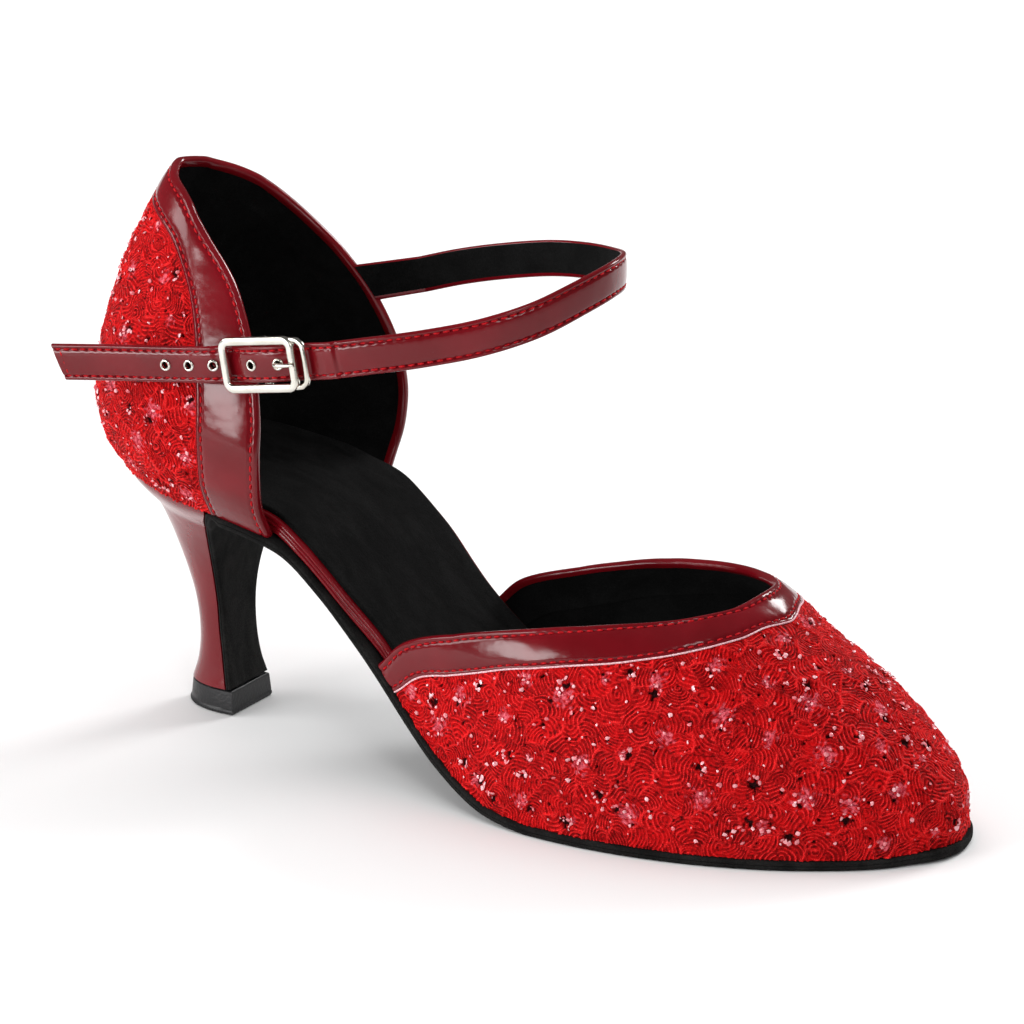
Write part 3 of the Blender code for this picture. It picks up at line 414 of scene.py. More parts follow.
# napped suede: fine fibres and broad strokes of the nap
def suedeLook(name, dark, light, nap=1.0):
    look = Look(name, {"Specular IOR Level": 0.06, "Sheen Weight": 0.015, "Sheen Roughness": 0.5})
    fibre = look.noise(2600, 3, 0.7)
    strokes = look.noise(90, 4, 0.6, 0.6, (1.0, 2.2, 1.0))
    colour = look.mix(look.spread(fibre * 0.6 + strokes * 0.7, 0.45, 0.95), dark, light)
    return look.finish(Base_Color=colour, Roughness=0.86 + strokes * 0.12,
                       Normal=look.bump(fibre + strokes * 0.5, 0.00022 * nap))


# lace: threads where the mesh's phase is whole, gaps between them, pale films and dark holes; the gaps carry
# painted shade and the thread tops a painted highlight
def laceLook():
    look = Look("corded_lace", {"Specular IOR Level": 0.07})
    cord = look.value("cord")
    edge = look.value("edge")
    veil = look.value("veil")
    phase = look.value("phase")
    fibre = look.noise(2400, 3, 0.65)
    mottle = look.noise(1000, 3, 0.65, 0.8)
    # patches: random broad tone, with each fan's painted sheen mixed in
    patches = look.noise(160, 3, 0.6) * 0.7 + look.value("tone") * 0.3
    strands = (look.value("along") * 1.9 + phase * 0.8 + fibre * 0.7).wave()
    faint = look.spread(look.noise(380, 2, 0.6), 0.38, 0.6) * 0.6 + 0.4
    ridge = phase.wave() ** 1.7 * (1 - edge) * faint + edge * 0.9
    thread = ridge * (strands * 0.5 + 0.5)
    lit = look.mix(look.spread(patches, 0.3, 0.7), *laceShades["thread"])
    # painted highlight: the crest colour along the middle of each thread
    lit = look.mix(look.spread(thread + mottle * 0.6, 0.4, 1.2), lit, laceShades["crest"])
    # painted shade: the gap colour in random patches and where the mesh lies low between the cords, over the
    # ground's own darker red
    body = look.mix(look.spread(cord * 0.35 + mottle * 1.3, 0.40, 0.92), laceShades["gap"], lit)
    film = look.mix(look.spread(mottle, 0.35, 0.65), *laceShades["film"])
    body = look.mix(veil * 0.85, body, film)
    colour = look.mix(look.value("hole"), body, laceShades["hole"])
    height = ridge * 0.8 + thread * 0.5 + fibre * 0.4 + mottle * 0.7
    return look.finish(Base_Color=colour, Roughness=0.62 - ridge * 0.15 - veil * 0.25,
                       Normal=look.bump(height, laceShades["depth"]))


# sequins: from deep pink to a pale pink-white by each piece's random sheen tone; the pale end is a painted
# glint over the sequins' own pink
def sequinLook():
    look = Look("sequin_pink", {"Coat Weight": 0.4, "Coat Roughness": 0.05})
    tone = look.value("tone")
    colour = look.mix(tone, *shades["sequin"])
    return look.finish(Base_Color=colour, Metallic=tone * 0.15, Roughness=0.16 + look.noise(900) * 0.2,
                       Normal=look.bump(look.noise(1300, 2), 0.0002))


# nickel: long fine scratches under a faint cloud
def nickelLook():
    look = Look("bright_nickel", {"Metallic": 1.0, "Specular IOR Level": 0.5})
    scratches = look.noise(500, 4, 0.6, 0.2, (1, 1, 14))
    cloud = look.noise(160, 3)
    colour = look.mix(look.spread(cloud, 0.3, 0.7), *shades["nickel"])
    return look.finish(Base_Color=colour, Roughness=0.10 + scratches * 0.16,
                       Normal=look.bump(scratches, 0.00003))


# sewing thread: the twist as a fine noise
def threadLook(name, dark, light):
    look = Look(name, {"Specular IOR Level": 0.1})
    twist = look.noise(2600, 2, 0.5, 0.3)
    colour = look.mix(look.spread(twist, 0.35, 0.7), dark, light)
    return look.finish(Base_Color=colour, Roughness=0.5 + twist * 0.25, Normal=look.bump(twist, 0.00012))


# hard rubber with pale scuffs
def tipLook():
    look = Look("tip_rubber", {"Specular IOR Level": 0.4})
    grit = look.noise(1500, 3)
    scuffs = look.spread(look.noise(240, 5, 0.7), 0.56, 0.72)
    colour = look.mix(scuffs, *shades["tip"])
    return look.finish(Base_Color=colour, Roughness=0.42 + scuffs * 0.25, Normal=look.bump(grit, 0.0001))


looks = {
    "patent": patentLook(),
    "heel": patentLook("patent_heel", *shades["heel"]),
    "lining": suedeLook("suede_lining", *shades["lining"]),
    "sock": suedeLook("suede_sock", *shades["sock"], 1.4),
    "sole": suedeLook("suede_sole", *shades["sole"], 1.8),
    "lace": laceLook(),
    "sequin": sequinLook(),
    "nickel": nickelLook(),
    "stitch": threadLook("stitch_thread", *shades["stitch"]),
    # the pale rod along the vamp band's seam: a painted highlight of the band's cut edge, in the
    # sewing-thread look
    "edge_highlight": threadLook("painted_edge_highlight", *shades["edge_highlight"]),
    "tip": tipLook(),
}
print("materials made")


# points, four-sided faces and a few others go into one mesh; a solid that comes out inside out is turned
def putMesh(name, points, quads, others=(), lookNames=("patent",), quadLook=None, otherLook=0, values=None,
            sharp=60, node=None, slot=None):
    points = np.asarray(points, float).reshape(-1, 3)
    quads = np.asarray(quads, int).reshape(-1, 4)
    quadLook = np.zeros(len(quads), int) if quadLook is None else quadLook
    a, b, c, d = (points[quads[:, i]] for i in range(4))
    inside = (np.cross(b - a, c - a) * a).sum() + (np.cross(c - a, d - a) * a).sum()
    for face in others:
        p = points[list(face)]
        inside += (np.cross(p[1:-1] - p[0], p[2:] - p[0]) * p[0]).sum()
    if inside < 0:
        quads = quads[:, ::-1]
        others = [face[::-1] for face in others]
    corners = np.concatenate([quads.ravel()] + [np.asarray(face) for face in others]).astype(np.int32)
    sizes = np.concatenate([np.full(len(quads), 4), [len(face) for face in others]]).astype(int)
    starts = np.concatenate([[0], np.cumsum(sizes)[:-1]]).astype(np.int32)
    faceLook = np.concatenate([quadLook, np.full(len(others), otherLook)]).astype(np.int32)
    mesh = bpy.data.meshes.new(name)
    mesh.vertices.add(len(points))
    mesh.vertices.foreach_set("co", points.ravel())
    mesh.loops.add(len(corners))
    mesh.loops.foreach_set("vertex_index", corners)
    mesh.polygons.add(len(sizes))
    mesh.polygons.foreach_set("loop_start", starts)
    mesh.polygons.foreach_set("material_index", faceLook)
    mesh.polygons.foreach_set("use_smooth", np.ones(len(sizes), bool))
    for key, numbers in (values or {}).items():
        layer = mesh.attributes.new(key, "FLOAT", "POINT")
        layer.data.foreach_set("value", np.asarray(numbers, np.float32).ravel())
    mesh.update(calc_edges=True)
    mesh.validate()
    mesh.set_sharp_from_angle(angle=np.radians(sharp))
    for lookName in lookNames:
        mesh.materials.append(looks[lookName])
    piece = bpy.data.objects.new(name, mesh)
    bpy.context.scene.collection.objects.link(piece)
    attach(piece, "root")
    if node:
        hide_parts(node)
    print("made", name, len(sizes), "faces")
    return piece


# a closed profile (rows) carried along a path (columns); its ends are closed by pairs of the profile's
# two halves or by one face each
def sweep(name, grid, rowLook=None, caps="pair", ring=False, capLook=0, **rest):
    rows, columns = grid.shape[:2]
    r, c = np.meshgrid(np.arange(rows), np.arange(columns if ring else columns - 1), indexing="ij")
    r, c = r.ravel(), c.ravel()
    up, on = (r + 1) % rows, (c + 1) % columns
    quads = np.stack([r * columns + c, r * columns + on, up * columns + on, up * columns + c], -1)
    quadLook = np.zeros(len(quads), int) if rowLook is None else np.asarray(rowLook)[r]
    others = []
    if not ring and caps == "pair":
        i = np.arange(rows // 2 - 1)
        for column, turn in ((0, 1), (columns - 1, -1)):
            cap = np.stack([i, i + 1, rows - 2 - i, rows - 1 - i], -1)[:, ::turn] * columns + column
            quads = np.vstack([quads, cap])
            quadLook = np.concatenate([quadLook, np.full(len(cap), capLook)])
            if rows % 2:
                mid = rows // 2
                others.append([v * columns + column for v in (mid - 1, mid, mid + 1)][::turn])
    elif not ring:
        first = np.arange(rows) * columns
        others = [first.tolist(), (first[::-1] + columns - 1).tolist()]
    return putMesh(name, grid, quads, others, quadLook=quadLook, otherLook=capLook, **rest)


# short threads along a line: each one a small rounded rod whose ends dip into the leather with the square
# of their distance from its middle
def threadRun(name, line, normals, pitch, length, radius, slot):
    run = runLengths(line)
    at = np.arange(pitch * 0.6, run[-1] - pitch * 0.5, pitch)
    place = alongLine(at, run, line)
    along = unit(alongLine(at + 0.3 * pitch, run, line) - alongLine(at - 0.3 * pitch, run, line))
    up = alongLine(at, run, normals)
    up = unit(up - along * (up * along).sum(-1, keepdims=True))
    side = np.cross(along, up)
    x = np.array([-0.5, -0.4, -0.15, 0.15, 0.4, 0.5])
    thick = np.array([0.35, 0.85, 1.0, 1.0, 0.85, 0.35]) * radius
    angle = np.linspace(0, 2 * np.pi, 6, endpoint=False)
    out = thick[:, None] * np.cos(angle) - 0.16 * mm * (2 * x[:, None]) ** 2
    across = thick[:, None] * np.sin(angle)
    points = (place[:, None, None] + along[:, None, None] * (x[:, None, None] * length)
              + up[:, None, None] * out[None, :, :, None] + side[:, None, None] * across[None, :, :, None])
    manyRods(name, points, "stitch", slot)


# many small closed rods in one mesh: places x rings x corners
def manyRods(name, points, look, slot, values=None):
    count, rings, corners = points.shape[:3]
    k, r, c = np.meshgrid(np.arange(count), np.arange(rings - 1), np.arange(corners), indexing="ij")
    base = k * rings * corners
    on = (c + 1) % corners
    quads = np.stack([base + r * corners + c, base + r * corners + on, base + (r + 1) * corners + on,
                      base + (r + 1) * corners + c], -1).reshape(-1, 4)
    first = np.arange(count)[:, None] * rings * corners + np.arange(corners)[None, ::-1]
    final = np.arange(count)[:, None] * rings * corners + (rings - 1) * corners + np.arange(corners)[None]
    putMesh(name, points, quads, first.tolist() + final.tolist(), (look,), values=values, slot=slot)


# bands: rows are (share of the width, millimetres from there, millimetres outwards, depth of the stitch pits)
band = {
    "rows": [
        (0, 0.00, -0.05, 0), (0, 0.03, 0.30, 0), (0, 0.30, 0.46, 0), (0, 0.75, 0.46, 0.10),
        (0, 1.05, 0.36, 0.5), (0, 1.30, 0.26, 1), (0, 1.55, 0.36, 0.5), (0, 1.9, 0.48, 0.10),
        (0, 2.6, 0.55, 0), (0.38, 0, 0.60, 0), (0.5, 0, 0.62, 0), (0.62, 0, 0.60, 0),
        (1, -2.8, 0.55, 0), (1, -2.1, 0.48, 0.10), (1, -1.75, 0.36, 0.5), (1, -1.5, 0.26, 1),
        (1, -1.25, 0.36, 0.5), (1, -0.9, 0.46, 0.10), (1, -0.4, 0.42, 0), (1, 0.0, 0.22, 0),
        (1, 0.28, -0.12, 0), (1, 0.42, -0.60, 0), (1, 0.42, -1.05, 0), (1, 0.25, -1.48, 0),
        (1, -0.1, -1.75, 0), (1, -0.8, -1.86, 0), (1, -1.6, -1.84, 0), (1, -1.7, -1.66, 0),
        (1, -2.4, -1.62, 0), (0.6, 0, -1.6, 0), (0.3, 0, -1.6, 0), (0, 0.3, -1.65, 0),
        (0, -1.2, -1.95, 0), (0, -1.2, -1.6, 0), (0, 0.0, -0.8, 0)],
    "lined": 27, "pitch": 2.35 * mm, "pucker": 0.26, "thread": 0.27 * mm, "threadLength": 1.55 * mm,
}


# a band: the rows set off from its surface, with a pucker (a cosine of the run) at each stitch
def bandPiece(name, surface, centre, columns, node):
    u = np.linspace(-1, 1, columns)
    width = np.linalg.norm(surface(u, 1.0) - surface(u, 0.0), axis=-1)
    table = np.array(band["rows"])
    v = table[:, 0:1] + table[:, 1:2] * mm / width[None]
    grid = surface(u[None], v)
    normal = normalsOf(surface, np.broadcast_to(u, v.shape), v, centre)
    seamRun = runLengths(surface(u, 0.0))
    topRun = runLengths(surface(u, 1.0))
    run = np.where(table[:, 0:1] < 0.5, seamRun[None], topRun[None])
    pit = 0.5 + 0.5 * np.cos(2 * np.pi * (run / band["pitch"] - 0.6))
    out = table[:, 2:3] - table[:, 3:4] * band["pucker"] * pit
    grid = grid + normal * out[..., None] * mm
    rowLook = (np.arange(len(table)) >= band["lined"]).astype(int)
    sweep(name, grid, rowLook, lookNames=("patent", "lining"), node=node, sharp=50)
    for part, row in (("seam", 5), ("top", 15)):
        line = surface(u, v[row]) + normal[row] * (0.30 * mm)
        threadRun(name + "_stitches_" + part, line, normal[row], band["pitch"], band["threadLength"],
                  band["thread"], node)


bandPiece("vamp_band_patent", vampBandAt, toeCentre, 521, "vamp_band")
bandPiece("quarter_band_patent", quarterBandAt, heelCentre, 561, "quarter_band")


# a thin round rod along a line
def rodAlong(name, line, radius, look, slot, corners=8, node=None):
    along = unit(np.gradient(line, axis=0))
    side = unit(np.cross(along, [0.13, 0.21, 1.0]))
    up = np.cross(side, along)
    angle = np.linspace(0, 2 * np.pi, corners, endpoint=False)[:, None, None]
    radius = np.broadcast_to(radius, len(line))[None, :, None]
    grid = line[None] + radius * (side[None] * np.cos(angle) + up[None] * np.sin(angle))
    sweep(name, grid, caps="ngon", lookNames=(look,), slot=slot, node=node)


# along the vamp band's seam a pale rod, a painted highlight of the band's cut edge catching light; along the
# quarter band's seam a thin red rod in the stitch colour
u = np.linspace(-1, 1, 600)
for name, surface, centre, radius, look, node in (
        ("vamp_painted_edge_highlight", vampBandAt, toeCentre, 0.22 * mm, "edge_highlight", "vamp_band"),
        ("quarter_seam_rod", quarterBandAt, heelCentre, 0.14 * mm, "stitch", "quarter_band")):
    normal = normalsOf(surface, u, 0 * u, centre)
    width = np.linalg.norm(surface(u, 1.0) - surface(u, 0.0), axis=-1)
    line = surface(u, -0.12 * mm / width) + normal * (0.34 * mm)
    rodAlong(name, line, radius, look, node)
print("bands done")

# lace: fans of thin cords round centres of their own, parted by thicker cords, with holes where they part.
# It is worked out from places in space, so that it runs on over every seam without stretching.
lace = {
    "fan": 3.7 * mm, "pitch": (0.68 * mm, 1.05 * mm), "relief": 0.22 * mm, "thick": 0.42 * mm,
    "thickWidth": 0.26 * mm, "drift": 0.2 * mm, "lift": 0.05 * mm, "wall": 1.75 * mm, "coarse": 4,
    "holeEvery": 4.9 * mm, "small": (0.2 * mm, 0.42 * mm), "large": (0.6 * mm, 1.1 * mm), "largeShare": 0.25,
    "veilEvery": 10.5 * mm, "veil": (0.9 * mm, 2.3 * mm),
}


# soft random numbers in space: a sum of waves in random directions
def makeWaves(length, count=12):
    ways = unit(dice.normal(0, 1, (count, 3)))
    ways *= 2 * np.pi / length * dice.uniform(0.7, 1.4, (count, 1))
    starts = dice.uniform(0, 2 * np.pi, count)
    return lambda points: np.sin(points @ ways.T + starts).sum(-1) * np.sqrt(2 / count)


# the nearest targets of each point, and the squares of their distances
def nearest(points, targets, count=1):
    index, square = [], []
    for part in np.array_split(points, len(points) // 20000 + 1):
        far = (part**2).sum(-1)[:, None] - 2 * part @ targets.T + (targets**2).sum(-1)
        near = np.argpartition(far, count, axis=1)[:, :count]
        far = np.take_along_axis(far, near, 1)
        order = far.argsort(1)
        index.append(np.take_along_axis(near, order, 1))
        square.append(np.take_along_axis(far, order, 1))
    return np.vstack(index), np.maximum(np.vstack(square), 0)


# places with at least a given distance between them
def scatter(points, distance, tries, inside):
    chosen = []
    for i in dice.choice(len(points), tries):
        if inside[i] and (not chosen or ((points[chosen] - points[i]) ** 2).sum(-1).min() > distance**2):
            chosen.append(i)
    return chosen


# where the fans, holes and films of one lace part lie
class LacePattern:
    def __init__(self, surface, seam, centre, reach):
        u, v = np.meshgrid(np.linspace(-reach, reach, 281), np.linspace(0, 1, 81))
        self.spots = surface(u, v).reshape(-1, 3)
        self.ups = normalsOf(surface, u, np.clip(v, 0.01, 0.99), centre).reshape(-1, 3)
        self.seam = seam
        fromSeam = np.sqrt(nearest(self.spots, seam)[1][:, 0])
        self.clear = (fromSeam > 1.6 * mm) & (v.ravel() > 0.05) & (np.abs(u).ravel() < 0.97 * reach)
        everywhere = np.ones(len(self.spots), bool)
        chosen = scatter(self.spots, lace["fan"], 6000, everywhere)
        count = len(chosen)
        self.seeds = self.spots[chosen] + dice.normal(0, 0.3 * mm, (count, 3))
        self.way = unit(np.cross(self.ups[chosen], dice.normal(0, 1, (count, 3))))
        self.side = np.cross(self.ups[chosen], self.way)
        self.centres = self.seeds + self.way * dice.uniform(0.45, 1.5, (count, 1)) * lace["fan"]
        self.others = self.seeds - self.way * dice.uniform(0.6, 1.4, (count, 1)) * lace["fan"]
        self.pitch = dice.uniform(*lace["pitch"], count)
        self.start = dice.uniform(0, 1, count)
        self.net = dice.uniform(0, 1, count) < 0.3
        # each fan's random sheen tone: a painted sheen that makes some fans' threads lighter than others
        self.tone = dice.uniform(0, 1, count)
        self.holes = np.array(scatter(self.spots, lace["holeEvery"], 9000, self.clear))
        self.big = dice.uniform(0, 1, len(self.holes)) < lace["largeShare"]
        large = dice.uniform(*lace["large"], len(self.big))
        self.sizes = np.where(self.big, large, dice.uniform(*lace["small"], len(self.big)))
        self.veils = np.array(scatter(self.spots, lace["veilEvery"], 4000, self.clear))
        self.veilSizes = dice.uniform(*lace["veil"], len(self.veils))
        waves = [makeWaves(length * mm) for length in (4.5, 7.0, 0.95, 1.5)]
        self.wander, self.patches, self.grain, self.ragged = waves

    # a cord where the distance from the fan's centre is a whole number of pitches, and a thicker one where
    # two fans are equally near
    def at(self, points):
        drift = np.stack([self.wander(points + shift) for shift in (0.0, 0.03, 0.06)], -1) * lace["drift"]
        moved = points + drift
        index, square = nearest(moved, self.seeds, 2)
        first, second = index[:, 0], index[:, 1]
        between = np.linalg.norm(self.seeds[first] - self.seeds[second], axis=-1)
        border = (square[:, 1] - square[:, 0]) / (2 * between)
        away = moved - self.centres[first]
        radius = np.linalg.norm(away, axis=-1)
        angle = np.arctan2((away * self.side[first]).sum(-1), -(away * self.way[first]).sum(-1))
        phase = radius / self.pitch[first] + self.start[first]
        crossing = np.linalg.norm(moved - self.others[first], axis=-1) / self.pitch[first]
        fine, crossing = (0.5 + 0.5 * np.cos(2 * np.pi * value) for value in (phase, crossing))
        fine = np.where(self.net[first], np.maximum(fine, 0.8 * crossing), fine)
        strong = np.clip(0.7 + 0.5 * self.patches(points), 0, 1)
        thick = hump(border, 0, lace["thickWidth"]) * strong
        trench = 1 - 0.6 * hump(border, 0.9 * mm, 0.3 * mm) * strong
        fine = np.clip(fine, 0, 1) ** 1.2 * trench * (1 - thick)
        index, square = nearest(points, self.spots[self.holes])
        size = self.sizes[index[:, 0]]
        away = np.sqrt(square[:, 0]) + 0.35 * size * self.ragged(points)
        hole = np.clip((size * 1.2 - away) / (size * 0.4), 0, 1)
        lip = hump(away, size * 1.6, 0.35 * size)
        index, square = nearest(points, self.spots[self.veils])
        size = self.veilSizes[index[:, 0]]
        edge = size * (1 - 0.4 * self.ragged(points + 0.01))
        veil = np.clip((edge - np.sqrt(square[:, 0])) / (0.5 * size), 0, 1) * (1 - hole)
        grain = self.grain(points)
        fade = np.clip(np.sqrt(nearest(points, self.seam)[1][:, 0]) / (0.6 * mm), 0, 1)
        height = lace["relief"] * fine * (1 + 0.25 * grain) + lace["thick"] * thick + 0.12 * mm * lip
        height = height * (1 - hole) * (1 - 0.5 * veil) - 0.35 * mm * hole + 0.08 * mm * self.patches(points)
        cord = np.clip(0.92 * fine + thick + 0.07 * grain, 0, 1)
        return lace["lift"] + height * fade, {
            "cord": cord * fade + 0.5 * (1 - fade), "hole": hole * fade, "veil": veil * fade, "edge": thick,
            "phase": phase, "along": angle * radius / mm, "tone": self.tone[first]}


# the outer side carries the cords at full detail, the lined side has every fourth row and column
def lacePiece(name, pattern, surface, centre, ends, columns, rows, node):
    u = np.linspace(*ends, columns)[None]
    v = np.linspace(0, 1, rows)[:, None]
    u, v = np.broadcast_arrays(u, v)
    base = surface(u, v)
    normal = normalsOf(surface, u, np.clip(v, 0.01, 0.99), centre)
    height, values = pattern.at(base.reshape(-1, 3))
    height = height.reshape(u.shape)
    outer = base + normal * height[..., None]
    outer[0, :, 2] -= 0.2 * mm + 0.3 * height[0]    # the lower edge hangs a little unevenly over the sole
    k = lace["coarse"]
    inner = (base - normal * lace["wall"])[::k, ::k]
    index = np.arange(rows * columns).reshape(rows, columns)
    small = rows * columns + np.arange(inner.shape[0] * inner.shape[1]).reshape(inner.shape[:2])
    quads = [np.stack([g[:-1, :-1], g[:-1, 1:], g[1:, 1:], g[1:, :-1]], -1).reshape(-1, 4)[:, ::turn]
             for g, turn in ((index, 1), (small, -1))]
    others = []
    for big, little, turn in ((index[0], small[0], -1), (index[-1], small[-1], 1),
                              (index[:, 0], small[:, 0], 1), (index[:, -1], small[:, -1], -1)):
        for i in range(len(little) - 1):
            face = big[i * k:(i + 1) * k + 1].tolist() + [little[i + 1], little[i]]
            others.append(face[::turn])
    points = np.vstack([outer.reshape(-1, 3), inner.reshape(-1, 3)])
    quadLook = np.concatenate([np.zeros(len(quads[0]), int), np.ones(len(quads[1]), int)])
    extra = np.zeros(inner.shape[0] * inner.shape[1])
    values = {key: np.concatenate([numbers, extra]) for key, numbers in values.items()}
    putMesh(name, points, np.vstack(quads), others, ("lace", "lining"), quadLook, 1, values, 75, node)


# sequins: small uneven bowls in broken rings round the holes, over the films, and loose ones between
def sequins(name, pattern, node):
    rows = []    # place's number, sideways steps in millimetres, lift, radius, tilt, tone
    for i, size, big in zip(pattern.holes, pattern.sizes / mm, pattern.big):
        start = dice.uniform(0, 2 * np.pi)
        for turn in range(dice.integers(3, 8) if big else dice.integers(0, 2)):
            angle, far = start + turn * dice.uniform(0.35, 0.9), size * dice.uniform(1.0, 1.9) + 0.2
            rows.append((i, far * np.cos(angle), far * np.sin(angle), dice.uniform(0.35, 0.6),
                         dice.uniform(0.25, 0.72), 0.45, dice.uniform(0.1, 1.0)))
    for i, size in zip(pattern.veils, pattern.veilSizes / mm):
        for turn in range(dice.integers(1, 5)):
            angle, far = dice.uniform(0, 2 * np.pi), size * dice.uniform(0.1, 1.1)
            rows.append((i, far * np.cos(angle), far * np.sin(angle), dice.uniform(0.25, 0.45),
                         dice.uniform(0.25, 0.6), 0.35, dice.uniform(0.1, 0.9)))
    for i in scatter(pattern.spots, 3.3 * mm, 4200, pattern.clear):
        rows.append((i, 0, 0, dice.uniform(0.3, 0.5), dice.choice([0.2, 0.35, 0.55]), 0.4,
                     dice.uniform(0.0, 1)))
    # the last column is the sheen tone: towards 1 a sequin gets the painted pale glint colour
    number, x, y, lift, radius, tilt, tone = np.array(rows).T
    number = number.astype(int)
    up = pattern.ups[number]
    side = unit(np.cross(up, [0.31, 0.22, 0.92]))
    shift = side * x[:, None] + np.cross(up, side) * y[:, None] + up * lift[:, None]
    place = pattern.spots[number] + shift * mm
    up = unit(up + dice.normal(0, 1, up.shape) * tilt[:, None])
    side = unit(np.cross(up, [0.31, 0.22, 0.92]))
    corners = 8
    angle = np.linspace(0, 2 * np.pi, corners, endpoint=False)
    uneven = dice.uniform(0.6, 1.2, (len(rows), 1, corners))
    other = np.cross(up, side)
    ring = side[:, None] * np.cos(angle)[None, :, None] + other[:, None] * np.sin(angle)[None, :, None]
    wide = np.array([0.55, 1.0, 0.6])[None, :, None] * uneven * radius[:, None, None] * mm
    level = np.array([0.26, 0.0, -0.12])[None, :] * radius[:, None] * mm
    rise = (up[:, None] * level[..., None])[:, :, None]
    grid = place[:, None, None] + ring[:, None] * wide[..., None] + rise
    manyRods(name, grid, "sequin", node, {"tone": np.repeat(tone, 3 * corners)})


ends = np.linspace(-1, 1, 500)
reach = 0.998 - cuts["vampSeam"][0, 0]    # beyond it the toe part's lace has no height
vampPattern = LacePattern(vampLaceAt, vampBandAt(ends, 0.0), toeCentre, reach)
lacePiece("vamp_lace_outer", vampPattern, vampLaceAt, toeCentre, (-reach, 0.1), 553, 169, "vamp")
lacePiece("vamp_lace_inner", vampPattern, vampLaceAt, toeCentre, (0.1, reach), 361, 133, "vamp")
sequins("vamp_sequins", vampPattern, "vamp")
quarterPattern = LacePattern(quarterLaceAt, quarterBandAt(ends, 0.0), heelCentre, 1.0)
lacePiece("quarter_lace", quarterPattern, quarterLaceAt, heelCentre, (-1, 1), 417, 201, "quarter")
sequins("quarter_sequins", quarterPattern, "quarter")
print("lace done")

# insole board with its wrapped edge, and the sock on it: (out, up) in millimetres from the edge's foot
insole = {
    # where the inset changes: from x, to x, inset before, inset after
    "inset": np.array([(27, 38, 2.5, 0.3), (47, 62, 0.3, 2.5), (160, 180, 2.5, 4.4)]) * mm,
    "edge": [(-0.9, 0.05), (-0.2, 0.12), (0.15, 0.45), (0.3, 1.0), (0.22, 1.5), (0.02, 1.78), (0.3, 2.05),
             (0.42, 2.4), (0.3, 2.75), (0.02, 2.95), (0.16, 3.3), (0.02, 3.7), (-0.4, 3.95), (-0.9, 4.0)],
    "sockEdge": [(-0.6, 0.0), (0.05, 0.05), (0.2, 0.4), (0.1, 0.85), (-0.35, 1.1), (-0.9, 1.12)],
    "gap": 0.3 * mm, "sockInset": 1.5 * mm, "sockLift": 4.3 * mm,
}


# a flat body inside the outline: its edge's profile on both sides, inset by a smooth step at each change
def insolePiece(name, extra, lift, edge, look, node, rows=300):
    back = last["seatBack"] + insole["inset"][0, 2] + extra
    front = toeX - insole["inset"][-1, 3] - extra
    share = 0.5 - 0.5 * np.cos(np.pi * np.linspace(0, 1, rows))
    x = back + (front - back) * (0.35 * share + 0.65 * np.linspace(0, 1, rows))
    inset = insole["inset"][0, 2] + extra
    for begin, end, before, after in insole["inset"]:
        t = np.clip((x - begin) / (end - begin), 0, 1)
        inset = inset + (after - before) * t**2 * (3 - 2 * t)
    pulled = last["seatBack"] + (toeX - last["seatBack"]) * (x - back) / (front - back)
    low, high = sidesAt(np.clip(pulled, last["seatBack"] + 0.35 * mm, toeX - 0.35 * mm))
    low, high = np.maximum(low, sidesAt(x)[0] + inset), np.minimum(high, sidesAt(x)[1] - inset)
    slope = np.gradient(featherAt(x), x)
    turn = 1 / np.sqrt(1 + slope**2)
    loop = [(-1, o, z) for o, z in edge] + [(s, 0.0, edge[-1][1] + 0.05) for s in (-0.7, -0.35, 0, 0.35, 0.7)]
    loop += [(1, o, z) for o, z in edge[::-1]] + [(s, 0.0, edge[0][1]) for s in (0.6, 0.2, -0.2, -0.6)]
    side, out, up = (np.array(column)[:, None] for column in zip(*loop))
    narrow = np.clip((high - low)[None] / (4 * mm), 0, 1)
    half = (high - low)[None] / 2 + np.where(np.abs(side) == 1, out * mm * narrow, 0.0)
    y = (low + high)[None] / 2 + side * half
    z = (featherAt(x) + lift)[None] + up * mm
    grid = np.stack([np.broadcast_to(x, y.shape), y, z], -1)
    sweep(name, grid, caps="ngon", lookNames=(look,), node=node, sharp=65)


insolePiece("insole_wrap", 0.0, insole["gap"], insole["edge"], "patent", "insole_board")
insolePiece("sock_suede", insole["sockInset"], insole["sockLift"], insole["sockEdge"], "sock", "sock")

# heel: (share of the height, back x, half width, breast x), rounded behind, flat at the breast
heel = {
    "sections": np.array([
        (0.00, -8.8, 8.5, 4.9), (0.08, -7.3, 7.6, 3.9), (0.16, -6.6, 7.2, 3.2), (0.28, -6.7, 7.2, 2.5),
        (0.40, -8.0, 7.6, 2.3), (0.52, -10.2, 9.0, 2.4), (0.64, -12.6, 11.4, 3.0), (0.75, -14.8, 14.6, 4.2),
        (0.85, -17.2, 18.4, 6.0), (0.93, -20.4, 22.0, 8.0), (1.00, -24.6, 26.0, 11.4)]) * [1.0, mm, mm, mm],
    "front": 11.4 * mm, "tip": 6 * mm, "gap": 0.3 * mm, "blendFrom": 0.86, "seatInset": 0.3 * mm,
    "flapGap": 0.2 * mm, "flap": 1.6 * mm,
}


